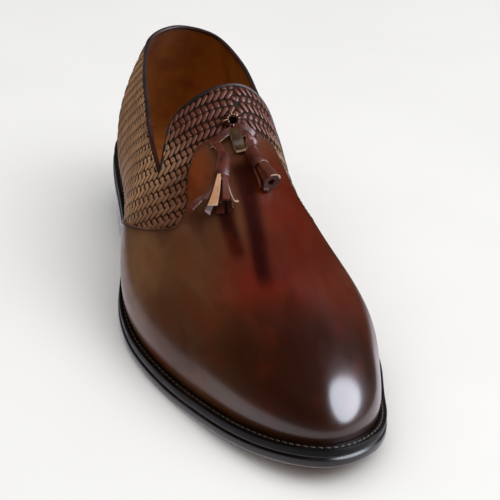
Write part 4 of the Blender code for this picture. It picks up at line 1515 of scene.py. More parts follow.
@dataclass
class Weave:
    """Twill of narrow leather strips over the back part of the upper.

    Upright strips float over two crossing strips and dip under the third, one step further up with every
    strip. Places are counted in strips forward of the heel back and in crossings up from the sole.
    """

    last: Last
    surface: UpperSurface
    pitch: float = 2.9
    repeat: int = 3
    float_share: float = 2.12
    crossing_share: float = 1.12
    bar_width: float = 2.45
    bar_height: float = 1.6
    crossing_height: float = 1.3
    seat: float = 1.12
    crossing_drop: float = 0.24
    base_rise: float = 0.4
    # Strips run straight up the quarters, and lean back over the tongue between these distances from the sole
    lean_from: float = 40
    lean_to: float = 82
    lean: float = 0.9
    underlap: float = 1.6
    angles: tuple[float, float, int] = (62, 180, 220)
    rises: int = 180
    samples: int = 9
    # Table of the lean: first and last distance from the sole, and steps
    lean_table: tuple[float, float, int] = (0, 160, 400)
    # What is tried: first strip, farthest way forward, repeats up the strip, highest way up
    first_strip: int = -12
    farthest: float = 330
    repeats: tuple[int, int] = (-60, 40)
    highest: float = 120
    # Shortest share of a strip that is laid, and limits of the share of its width
    least_share: float = 0.3
    width_limits: Pair = (0.5, 1.2)
    # Random share of a strip's width and height
    play: float = 0.07
    # Search for a place: start as shares of the table, steps, longest move and largest miss
    search_start: Pair = (0.5, 0.4)
    search_steps: int = 14
    search_move: float = 20
    search_miss: float = 0.3
    # Margins at the tongue's free edge, in degrees, and at the sole, as a rise
    tongue_margin: float = 0.2
    foot_margin: float = 0.02

    def prepare(self, side: Side) -> None:
        """Tables strips and crossings over one side.

        Args:
            side: The side.
        """
        angle = np.linspace(*self.angles)
        rise = np.linspace(0, 1, self.rises)
        self.grid = self.last.point(side.value * angle[:, None], rise[None, :])
        row = self.last.point(side.value * angle, np.full(angle.shape, self.base_rise))
        forward = along_path(row[::-1])[::-1][:, None]
        step = np.linalg.norm(np.diff(self.grid, axis=1), axis=-1)
        up = np.concatenate([np.zeros((len(angle), 1)), np.cumsum(step, axis=1)], axis=1)
        far = np.linspace(*self.lean_table)
        slope = self.lean * smooth_step(self.lean_from, self.lean_to, far)
        leaned = np.interp(up, far, np.cumsum(slope) * (far[1] - far[0]))
        self.tables = np.stack([forward + leaned, up, np.broadcast_to(angle[:, None], up.shape),
                                np.broadcast_to(rise[None, :], up.shape)], axis=-1)
        self.slopes = np.stack([np.gradient(self.tables[..., :2], axis=axis) for axis in (0, 1)], axis=-1)

    def read(self, values: Array, i: Array, j: Array) -> Array:
        """Reads a table between its rows and columns.

        Args:
            values: The table.
            i: Places along its first axis.
            j: Places along its second axis.

        Returns:
            Values at the places.
        """
        a = np.clip(np.floor(i).astype(int), 0, values.shape[0] - 2)
        b = np.clip(np.floor(j).astype(int), 0, values.shape[1] - 2)
        extra = (1,) * (values.ndim - 2)
        u, v = (i - a).reshape(-1, *extra), (j - b).reshape(-1, *extra)
        low = values[a, b] * (1 - u) + values[a + 1, b] * u
        return low * (1 - v) + (values[a, b + 1] * (1 - u) + values[a + 1, b + 1] * u) * v

    def find(self, forward: Array, up: Array) -> tuple[Array, Array]:
        """Finds the places that lie at distances forward and up.

        Args:
            forward: Distances forward, across the strips.
            up: Distances up, along the strips.

        Returns:
            Points, and whether each lies on the woven leather.
        """
        count_i, count_j = self.tables.shape[:2]
        i, j = (np.full(forward.shape, count * share)
                for count, share in zip((count_i, count_j), self.search_start))
        target = np.stack([forward, up], axis=-1)
        for _ in range(self.search_steps):
            miss = target - self.read(self.tables, i, j)[:, :2]
            slope = self.read(self.slopes, i, j)
            det = slope[:, 0, 0] * slope[:, 1, 1] - slope[:, 0, 1] * slope[:, 1, 0]
            det = np.where(np.abs(det) < 1e-6, 1e-6, det)
            move_i = (miss[:, 0] * slope[:, 1, 1] - miss[:, 1] * slope[:, 0, 1]) / det
            move_j = (miss[:, 1] * slope[:, 0, 0] - miss[:, 0] * slope[:, 1, 0]) / det
            i = np.clip(i + np.clip(move_i, -self.search_move, self.search_move), 0, count_i - 1)
            j = np.clip(j + np.clip(move_j, -self.search_move, self.search_move), 0, count_j - 1)
        values = self.read(self.tables, i, j)
        good = np.linalg.norm(values[:, :2] - target, axis=-1) < self.search_miss
        return self.read(self.grid, i, j), good & self.inside(values[:, 2], values[:, 3])

    def inside(self, angle: Array, rise: Array) -> Array:
        """Tells woven leather from the rest.

        Args:
            angle: Sizes of the column angles.
            rise: Rises up the columns.

        Returns:
            Whether each place lies on it.
        """
        rises, seam, notch = table(PANEL_LINES)
        at_seam, at_notch = steady(rises, seam, rise), steady(rises, notch, rise)
        column = 2 + (angle - at_notch) / (180 - at_notch)
        collar = np.interp(column, self.surface.quarter_columns, self.surface.topline)
        share = np.clip((angle - at_notch) / (TONGUE_ANGLE - at_notch), 0, 1)
        foot = self.surface.notch_rise + (TONGUE_CORNER_RISE - self.surface.notch_rise) * share
        on_band = (angle > at_seam - self.underlap) & (angle <= at_notch)
        on_quarter = (angle > at_notch) & (rise < collar)
        on_tongue = (angle > at_notch) & (rise > foot) & (angle < TONGUE_ANGLE - self.tongue_margin)
        return (on_band | on_quarter | on_tongue) & (rise > self.foot_margin)

    def spots(self, floats: bool) -> Spots:
        """Lays out the strips that float, or the short crossings between them.

        Args:
            floats: True for the floating strips, False for the crossings.

        Returns:
            Spots of both sides.
        """
        gathered: list[tuple[Array, ...]] = []
        half = self.pitch * (self.float_share if floats else self.crossing_share) / 2
        strips = np.arange(self.first_strip, int(self.farthest / self.pitch))
        grids = np.meshgrid(strips, np.arange(*self.repeats), indexing="ij")
        strip, repeat = (grid.ravel() for grid in grids)
        across = strip * self.pitch
        along = (self.repeat * repeat + strip + (0 if floats else self.repeat / 2)) * self.pitch
        fair = (along > -self.pitch) & (along < self.highest)
        across, along = across[fair], along[fair]
        for side in Side:
            self.prepare(side)
            reach = np.linspace(-half, half, self.samples)
            steps = [(0, step) if floats else (step, 0) for step in reach]
            kept = np.stack([self.find(across + x, along + y)[1] for x, y in steps], axis=-1)
            share = kept.mean(axis=-1)
            middle = (kept * reach).sum(axis=-1) / np.maximum(kept.sum(axis=-1), 1)
            keep = share > self.least_share
            a = (across if floats else across + middle)[keep]
            b = (along + middle if floats else along)[keep]
            place = self.find(a, b)[0]
            run = self.find(a, b + 0.5)[0] - self.find(a, b - 0.5)[0]
            cross = self.find(a + 0.5, b)[0] - self.find(a - 0.5, b)[0]
            out = unit(np.cross(cross, run)) * -side.value
            lean = np.linalg.norm(np.cross(cross, run), axis=-1)
            width = lean / np.maximum(np.linalg.norm(run if floats else cross, axis=-1), 1e-6)
            seat = self.seat - (0 if floats else self.crossing_drop)
            sizes = np.stack([share[keep], np.clip(width, *self.width_limits), np.ones(len(a))], axis=-1)
            gathered.append((place + out * seat, out, unit(run if floats else cross), sizes))
        return Spots(*(np.concatenate(values) for values in zip(*gathered)))


@dataclass
class Upper:
    """The upper: a smooth vamp lapped over a woven back part, its lining, piping and back strap."""

    last: Last
    grains: Grains
    finishes: Finishes
    edge_round: float = 0.9
    # Even mesh columns over the vamp, and then distances from the seam of those that round its edge
    vamp_columns: tuple[float, float, int] = (0, 0.966, 104)
    near_seam: tuple[float, ...] = (
        0.028, 0.022, 0.017, 0.0125, 0.009, 0.0062, 0.004, 0.0024, 0.0012, 0.0004, 0,
    )
    # How far the vamp stands proud of the CAD wall
    proud: float = 0.1
    # Dark patina along the seam and darkening towards the sole: its reach from the seam, its rise from the
    # sole and its strength there
    seam_stain: float = 6
    foot_darkening: float = 0.1
    foot_strength: float = 0.6
    ground_lift: float = 1.15
    # Mesh column, just before the seam, where the backing starts
    ground_from: float = 0.972
    lining_thickness: float = 0.6
    piping_radius: float = 1
    piping_points: int = 260
    stitch_inset: float = 1.7
    stitch_pitch: float = 2
    stitch_size: Triple = (1.6, 0.55, 0.5)
    # Rise where the seam's stitches start, and their lift off the vamp
    stitch_foot: float = 0.04
    stitch_lift: float = 0.08
    strap_half_width: float = 6.5
    strap_lift: float = 2.3
    strap_thickness: float = 1
    # Points across and up the strap, the rise it ends below the topline, and the fall of its edges
    strap_grid: tuple[int, int] = (17, 40)
    strap_short: float = 0.004
    strap_fall: float = 0.08
    # Points along a crease, the shares of it where it fades in and out, and the narrowing and end of its
    # painted shade
    crease_points: int = 40
    crease_fades: Pair = (0.25, 0.75)
    tassel_shade_narrowing: float = 0.35
    tassel_shade_end: float = 0.72
    creases: tuple[Crease, ...] = (
        # The first two creases run below the tassels and carry painted shade
        Crease(((-75, 0.81), (-69.5, 0.79), (-65, 0.783), (-61, 0.77), (-57.5, 0.753)), 4, 0.25, 1),
        Crease(((-80, 0.945), (-69.5, 0.937), (-59.5, 0.902), (-51, 0.838), (-44, 0.80)), 4.6, 0.3, 1),
        Crease(((-66, 0.30), (-62, 0.55), (-58, 0.75)), 5, 0.35, 0),
        Crease(((60, 0.45), (57, 0.65), (53, 0.82)), 5, 0.35, 0),
        Crease(((-54, 0.35), (-50, 0.6), (-47, 0.8)), 4, 0.2, 0),
    )

    def build(self) -> list[Piece]:
        """Builds and dresses the upper's pieces.

        Returns:
            The pieces, the vamp first.
        """
        columns = np.concatenate([np.linspace(*self.vamp_columns), 1 - np.array(self.near_seam)])
        fine = UpperSurface(self.last, columns, band=12, quarter=56, tongue=14, wall=44, crown=48)
        coarse = UpperSurface(self.last, np.linspace(0, 1, 40), band=6, quarter=40, tongue=8, wall=22,
                              crown=24)
        pieces = [self.vamp(fine), self.ground(fine), self.lining(coarse), *self.piping(fine), *self.strap()]
        pieces += self.stitches(fine)
        weave = Weave(self.last, fine)
        for name, floats, share, height, square, seed in (
            ("woven_strips", True, weave.float_share, weave.bar_height, 0.55, 3),
            ("woven_crossings", False, weave.crossing_share, weave.crossing_height, 0.6, 5),
        ):
            size = (share * weave.pitch, weave.bar_width, height)
            spots = weave.spots(floats)
            pieces.append(self.grains.make(name, spots, size, self.finishes.strips, square, weave.play, seed))
        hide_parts("upper")
        return pieces

    def crease_relief(self, points: Array) -> tuple[Array, Array]:
        """Works out what the creases do.

        Args:
            points: Points on the last.

        Returns:
            Depth of the creases and strength of the painted shade below the tassels at the points.
        """
        depth, tassel_shade = np.zeros(len(points)), np.zeros(len(points))
        for crease in self.creases:
            angle, rise = table(crease.places)
            at = np.linspace(0, len(angle) - 1, self.crease_points)
            order = np.arange(len(angle), dtype=float)
            line = self.last.point(np.interp(at, order, angle), np.interp(at, order, rise))
            gap = np.full(len(points), 1e9)
            where = np.zeros(len(points))
            for k, spot in enumerate(line):
                distance = np.linalg.norm(points - spot, axis=1)
                closer = distance < gap
                gap[closer], where[closer] = distance[closer], k / (len(line) - 1)
            fade_in, fade_out = self.crease_fades
            fade = smooth_step(0, fade_in, where) * (1 - smooth_step(fade_out, 1, where))
            depth += crease.depth * np.exp(-(gap / crease.width) ** 2) * fade
            narrow = crease.width * (1 - self.tassel_shade_narrowing * where)
            stain = np.exp(-(gap / narrow) ** 4) * (1 - smooth_step(self.tassel_shade_end, 1, where))
            tassel_shade = np.maximum(tassel_shade, crease.tassel_shade * stain)
        return depth, tassel_shade

    def vamp(self, surface: UpperSurface) -> Piece:
        """Makes the vamp, with a rounded edge along its seam and soft troughs where it bends.

        Args:
            surface: The fine surface.

        Returns:
            The vamp.
        """
        bend = self.edge_round
        distance = np.clip(surface.from_seam, 0, bend)
        drop = bend - np.sqrt(np.maximum(bend ** 2 - (bend - distance) ** 2, 0))
        depth, tassel_shade = self.crease_relief(surface.points)
        outer = surface.lifted(VAMP_WALL + self.proud - drop - depth)
        inner = surface.lifted(self.ground_lift + self.proud)
        picked = surface.faces[surface.face_column < 1]
        piece = solid("vamp", shell(outer, inner, picked), [self.finishes.vamp], sharp=60, turn=False)
        used = np.unique(picked)
        # Darker along the seam and towards the sole
        edge = 1 - smooth_step(0, self.seam_stain, surface.from_seam[used])
        foot = 1 - smooth_step(0, self.foot_darkening, surface.rise[used])
        edge = np.maximum(edge, self.foot_strength * foot)
        # The second attribute is painted shade below the tassels
        for label, values in (("edge", edge), ("tassel_shade", tassel_shade[used])):
            layer = piece.data.attributes.new(label, "FLOAT", "POINT")
            layer.data.foreach_set("value", np.concatenate([values, values]).astype(np.float32))
        return piece

    def ground(self, surface: UpperSurface) -> Piece:
        """Makes the dark backing that the strips are woven over.

        Args:
            surface: The fine surface.

        Returns:
            The backing.
        """
        picked = surface.faces[surface.face_column > self.ground_from]
        shape = shell(surface.lifted(self.ground_lift), surface.lifted(self.lining_thickness), picked)
        return solid("woven_ground", shape, [self.finishes.ground], sharp=60, turn=False)

    def lining(self, surface: UpperSurface) -> Piece:
        """Returns the lining over the whole inside."""
        shape = shell(surface.lifted(self.lining_thickness), surface.points, surface.faces)
        return solid("lining", shape, [self.finishes.lining], sharp=60, turn=False)

    def piping(self, surface: UpperSurface) -> list[Piece]:
        """Makes the rolled beads along the collar and the tongue.

        Args:
            surface: The fine surface.

        Returns:
            Both beads.
        """
        beads = []
        for name, index in zip(("collar_piping", "tongue_piping"), surface.rim()):
            path = surface.lifted(QUARTER_WALL / 2)[index]
            at = np.linspace(0, along_path(path)[-1], self.piping_points)
            line, outs = carried(path, path, at), unit(carried(path, surface.out[index], at))
            for _ in range(4):
                line[1:-1] = (line[:-2] + 2 * line[1:-1] + line[2:]) / 4
                outs[1:-1] = unit(outs[:-2] + 2 * outs[1:-1] + outs[2:])
            shape = tube(line, outs, self.piping_radius * 1.1, self.piping_radius)
            beads.append(solid(name, shape, [self.finishes.piping], sharp=60))
        return beads

    def strap(self) -> list[Piece]:
        """Makes the smooth strap over the seam at the heel back, and the stitches along its edges.

        Returns:
            The strap and both rows of stitches.
        """
        rise = np.linspace(0, collar_rise(self.last, 3) - self.strap_short, self.strap_grid[1])
        sample = 12
        chord = self.last.point(180 - sample, rise) - self.last.point(180, rise)
        reach = sample * self.strap_half_width / np.linalg.norm(chord, axis=-1)
        turn = np.linspace(-1, 1, self.strap_grid[0])[:, None] * reach[None, :]
        angle = np.where(turn > 0, turn - 180, turn + 180)
        place = self.last.point(angle, np.broadcast_to(rise[None, :], angle.shape))
        out = unit(np.cross(np.gradient(place, axis=0), np.gradient(place, axis=1)))
        out = np.where(out[..., 1:2] < 0, -out, out)
        taper = 1 - (np.abs(np.linspace(-1, 1, len(place))) ** 8)[:, None] * self.strap_fall
        outer = place + out * (self.strap_lift * taper)[..., None]
        inner = place + out * (self.strap_lift - self.strap_thickness)
        shape = shell(outer, inner, sheet(*angle.shape))
        pieces = [solid("back_strap", shape, [self.finishes.piping], sharp=50)]
        for name, column in (("medial", 2), ("lateral", -3)):
            spots = Spots.on_path(outer[column], out[column], self.stitch_pitch, margin=1.5)
            pieces.append(self.grains.make(f"strap_stitches_{name}", spots, self.stitch_size,
                                           self.finishes.strap_thread, squareness=0.8))
        return pieces

    def stitches(self, surface: UpperSurface) -> list[Piece]:
        """Makes the rows of stitches along the vamp's seam.

        Args:
            surface: The fine surface.

        Returns:
            One row a side.
        """
        pieces = []
        for side in Side:
            seam = surface.edges["seam", side]
            rise, at_seam = surface.rise[seam], np.abs(surface.angle[seam])
            angle = at_seam
            for _ in range(3):
                ahead = self.last.point(side.value * (angle - 1), rise)
                step = np.linalg.norm(ahead - self.last.point(side.value * angle, rise), axis=1)
                angle = at_seam - self.stitch_inset / np.maximum(step, 0.2)
            keep = rise > self.stitch_foot
            out = surface.out[seam][keep]
            path = self.last.point(side.value * angle, rise)[keep] + out * (VAMP_WALL + self.stitch_lift)
            spots = Spots.on_path(path, out, self.stitch_pitch, margin=1)
            pieces.append(self.grains.make(f"vamp_stitches_{side.name.lower()}_1", spots, self.stitch_size,
                                           self.finishes.thread, squareness=0.8))
        return pieces


@dataclass
class Sole:
    """Outsole, welt and sock, with their stitches and pins."""

    last: Last
    grains: Grains
    finishes: Finishes
    ring_points: int = 360
    welt_thickness: float = 3.2
    welt_setback: float = 0.4
    welt_rounding: float = 0.6
    welt_fit: float = 0.35
    insole_thickness: float = 2.6
    insole_fit: float = 0.6
    channel_inset: float = 5.6
    channel_depth: float = 0.55
    welt_stitch_inset: float = 2.3
    stitch_pitch: float = 3
    # Side of the outsole: inset from its edge, lift above the tread
    side: tuple[Pair, ...] = (
        (1.5, 0), (1, 0.12), (0.55, 0.45), (0.2, 1), (0, 1.8), (0, 3), (0, 3.9), (0.25, 4.3),
        (0.8, 4.6), (0.95, 5), (0.9, 5.5),
    )
    # Pins in the waist: station, offset
    pins: tuple[Pair, ...] = ((92, -12), (92, 8), (104, -16), (104, 9))
    # Length, width and height of a stitch in the welt, of one in the channel and of a pin's head
    welt_stitch: Triple = (2.3, 0.75, 0.6)
    sole_stitch: Triple = (2.2, 0.7, 0.6)
    pin_size: Triple = (1.5, 1.5, 0.5)

    def angles(self) -> Array:
        """Returns the column angles of the rings, from the heel back over the lateral side."""
        return np.arange(self.ring_points) * 360 / self.ring_points - 180

    def ring(self, inset: Any, lift: float) -> Array:
        """Returns a ring at an inset from the sole's edge, lifted off the tread."""
        station, offset = Ring(*self.last.plan.sides(inset)).at(self.angles())
        return self.last.plan.place(offset, station, tread_height(station) + lift)

    def build(self) -> list[Piece]:
        """Builds and dresses the sole's pieces.

        Returns:
            The pieces.
        """
        outsole, welt, sock = self.outsole(), self.welt(), self.sock()
        # The floor takes up none of the tread's tan
        outsole.visible_diffuse = False
        for piece, node, slot in ((outsole, "outsole", "sole_leather"), (welt, "welt", "welt_leather"),
                                  (sock, "insole", "lining_leather")):
            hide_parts(node)
        return [outsole, welt, sock, *self.stitches()]

    def outsole(self) -> Piece:
        """Makes the outsole with its rounded edge and the stitch channel underneath.

        Returns:
            The outsole.
        """
        inset, depth = self.channel_inset, self.channel_depth
        under = [(12, 0), (inset + 0.9, 0), (inset + 0.45, depth * 0.8), (inset, depth),
                 (inset - 0.45, depth * 0.8), (inset - 0.8, 0), (2.6, 0)]
        rings = [self.ring(*corner) for corner in (*under, *self.side)]
        points, faces = loft(rings, Caps.ROWS)
        turn = len(under) * self.ring_points
        slots = [0 if max(face) <= turn + self.ring_points else 1 for face in faces]
        half = self.ring_points // 2
        slots[-2 * half:-half] = [0] * half
        slots[-half:] = [1] * half
        materials = [self.finishes.sole, self.finishes.edge]
        return solid("outsole_looks", (points, faces, slots), materials, sharp=50)

    def welt(self) -> Piece:
        """Makes the welt strip.

        Returns:
            The welt.
        """
        plan, last = self.last.plan, self.last
        station = plan.edge[:, 0]
        seam_foot = last.feather.at(PANEL_LINES[0][1])[0] - self.welt_thickness
        behind = 1 - smooth_step(seam_foot - 2, seam_foot + 2, station)
        wall = VAMP_WALL + (QUARTER_WALL - VAMP_WALL) * behind
        share = np.clip((station - last.feather.middle) / last.feather.half, -1, 1)
        lean = wall_shape(np.degrees(np.arccos(share)) * np.where(plan.edge[:, 1] < 0, -1, 1))[0]
        bottom = OUTSOLE_THICKNESS + CLEARANCE * 0.2
        top = OUTSOLE_THICKNESS + CLEARANCE + self.welt_thickness
        inner = [plan.feather_inset() - wall - self.welt_fit - lean * (lift - OUTSOLE_THICKNESS)
                 for lift in (bottom, top)]
        edge, soft = self.welt_setback, self.welt_rounding
        stitch = self.welt_stitch_inset
        corners = (
            (inner[0], bottom), (edge + 0.5, bottom), (edge + 0.12, bottom + 0.35), (edge, bottom + 0.9),
            (edge, top - soft), (edge + soft * 0.3, top - soft * 0.3), (edge + soft, top),
            (stitch - 0.5, top), (stitch, top - 0.22), (stitch + 0.5, top), (inner[1], top),
        )
        rings = [self.ring(*corner) for corner in corners]
        return solid("welt_looks", loft(rings, Caps.LOOP), [self.finishes.welt], sharp=50)

    def sock(self) -> Piece:
        """Makes the sock lining over the insole board.

        Returns:
            The sock.
        """
        inset = self.last.plan.feather_inset() + self.insole_fit
        base = OUTSOLE_THICKNESS + CLEARANCE
        top = base + self.insole_thickness
        rings = [self.ring(inset, base), self.ring(inset, top - 0.4), self.ring(inset + 0.4, top)]
        return solid("sock", loft(rings, Caps.ROWS), [self.finishes.sock], sharp=50)

    def stitches(self) -> list[Piece]:
        """Makes and dresses the stitches of welt and channel, and the waist's pins.

        Returns:
            The three pieces.
        """
        up = np.tile([0, 0, 1], (self.ring_points, 1))
        top = OUTSOLE_THICKNESS + CLEARANCE + self.welt_thickness
        welt_row = self.ring(self.welt_stitch_inset, top - 0.05)
        closed = np.concatenate([welt_row, welt_row[:1]])
        spots = Spots.on_path(closed, np.concatenate([up, up[:1]]), self.stitch_pitch)
        welt = self.grains.make("welt_stitches", spots, self.welt_stitch, self.finishes.welt_thread,
                                squareness=0.75)
        channel = self.ring(self.channel_inset, self.channel_depth - 0.15)
        front = channel[channel[:, 1] < LENGTH / 2 - BREAST_STATION - 6]
        spots = Spots.on_path(front, np.tile([0, 0, -1], (len(front), 1)), self.stitch_pitch)
        sole = self.grains.make("channel_stitches", spots, self.sole_stitch, self.finishes.sole_thread,
                                squareness=0.75)
        station, offset = table(self.pins)
        place = self.last.plan.place(offset, station, tread_height(station) - 0.02)
        spots = Spots.underneath(place)
        pins = self.grains.make("waist_pins", spots, self.pin_size, self.finishes.brass, squareness=0.9)
        return [welt, sole, pins]


@dataclass
class Heel:
    """Stacked heel: leather lifts and a top piece in two parts, with its nails."""

    last: Last
    grains: Grains
    finishes: Finishes
    hollow: float = 5
    split: float = 35
    setback: float = 1.2
    taper: float = 0.045
    top_piece: float = 6.2
    lift: float = 4.9
    side_points: int = 44
    breast_points: int = 25
    groove: float = 0.22
    corner: float = 0.5
    # Nails in the top piece, station and offset, and the size of a head
    nails: tuple[Pair, ...] = ((73.5, -30), (73.5, 21.5))
    nail_size: Triple = (2, 2, 0.1)

    def ring(self, inset: float, back: float, front: float, hollow: float, height: Any) -> Array:
        """Returns a closed ring of the heel between two stations.

        Args:
            inset: Inset from the sole's edge.
            back: Station where it starts, 0 for the heel back.
            front: Station where it ends.
            hollow: Depth of the hollow in its front face.
            height: Height, or None for the heel seat.

        Returns:
            Points of the ring.
        """
        lateral, medial = self.last.plan.sides(inset)
        sweep = np.linspace(0, 1, self.side_points)
        if back <= 0:
            station = lateral[0, 0] + (front - lateral[0, 0]) * (1 - np.cos(sweep * math.pi / 2))
        else:
            station = back + (front - back) * sweep
        left = np.stack([np.interp(station, lateral[:, 0], lateral[:, 1]), station], axis=-1)[::-1]
        right = np.stack([np.interp(station, medial[:, 0], medial[:, 1]), station], axis=-1)
        ring = np.concatenate([left, right[1:] if back <= 0 else right])
        if hollow > 0:
            across = np.linspace(1, -1, self.breast_points + 2)[1:-1]
            middle, half = (left[0, 0] + right[-1, 0]) / 2, (right[-1, 0] - left[0, 0]) / 2
            breast = np.stack([middle + half * across, front - hollow * (1 - across ** 2)], axis=-1)
            ring = np.concatenate([ring, breast])
        level = tread_height(ring[:, 1]) - 0.05 if height is None else np.full(len(ring), float(height))
        return self.last.plan.place(ring[:, 0], ring[:, 1], level)

    def inset(self, height: float) -> float:
        """Returns the inset of the heel's side at a height."""
        return self.setback + self.taper * (SEAT_BACK - height)

    def block(self, levels: Sequence[tuple[Optional[float], float]], back: float, front: float,
              hollow: float) -> Shape:
        """Makes a slice of the heel.

        Args:
            levels: Height, None for the seat, and extra inset of each ring.
            back: Station where it starts, 0 for the heel back.
            front: Station where it ends.
            hollow: Depth of the hollow in its front face.

        Returns:
            Points and faces.
        """
        rings = []
        for height, extra in levels:
            at = BREAST_HEIGHT if height is None else height
            edge = back + extra if back > 0 else back
            rings.append(self.ring(self.inset(at) + extra, edge, front - extra, hollow, height))
        return loft(rings, Caps.FLAT)

    def build(self) -> list[Piece]:
        """Builds and dresses the heel's pieces.

        Returns:
            The pieces.
        """
        cut, groove, edge = self.corner, self.groove, self.finishes.edge
        bottom = self.top_piece + CLEARANCE
        stack: list[tuple[Optional[float], float]] = [(bottom - 0.25, groove), (bottom + 0.12, 0)]
        for _ in range(2):
            joint = bottom + self.lift
            middle = (bottom + joint) / 2
            stack += [(middle, -0.05), (joint - 0.05, 0), (joint + 0.12, groove), (joint + 0.35, 0)]
            bottom = joint + CLEARANCE
        stack += [(BREAST_HEIGHT - 0.9, 0), (None, 0.1)]
        rows = [(cut, 0), (self.top_piece - 0.2, 0), (self.top_piece, 0.15)]
        pieces = []
        for name, levels, back, front, hollow, materials, slot, nodes in (
            ("heel_stack", stack, 0, BREAST_STATION, self.hollow, [edge], "heel_leather",
             ("heel_lift_1", "heel_lift_2", "heel_lift_3")),
            ("heel_rubber", [(0, cut), *rows], 0, self.split, 0, [self.finishes.rubber], "top_piece_rubber",
             ("heel_top_rubber",)),
            ("heel_top_piece", [(0, cut * 0.6), *rows], self.split + CLEARANCE, BREAST_STATION, self.hollow,
             [self.finishes.top_leather, edge], "top_piece_leather", ("heel_top_leather",)),
        ):
            points, faces = self.block(levels, back, front, hollow)
            # The last material goes all round, and the face on the floor takes the first one
            slots = [len(materials) - 1] * len(faces)
            slots[-2] = 0
            pieces.append(solid(name, (points, faces, slots), materials))
            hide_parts(*nodes)
        station, offset = table(self.nails)
        place = self.last.plan.place(offset, station, np.full(len(station), 0.05))
        nails = self.grains.make("heel_nails", Spots.underneath(place), self.nail_size, self.finishes.brass,
                                 squareness=0.9)
        return [*pieces, nails]


class Strip(NamedTuple):
    """One cut strip of a tassel's skirt.

    The turn is its angle round the tassel in degrees, 90 facing out of the vamp. The shorter it is cut, the
    larger its cut. Splay is how far its end leaves the tassel, across and out. Slot and edge are the
    materials of its face and of its cut edges. Waist is the share of its width at the cap, and lean is how
    far its end turns to face out.
    """

    turn: float
    cut: float
    splay: Pair
    width: float
    depth: float = 1
    slot: int = 0
    edge: int = 0
    waist: float = 0.8
    lean: float = 0.35


class Thong(NamedTuple):
    """One visible run of the tie: its width, material slot and places (angle, rise, lift)."""

    width: float
    slot: int
    places: tuple[Triple, ...]


@dataclass
class Stand:
    """Where a tassel lies: its top, its axes (across, out, along) as rows, and its length."""

    top: Array
    axes: Array
    length: float

    def place(self, local: Array) -> Array:
        """Turns points of the tassel into the row frame."""
        return self.top + local @ self.axes


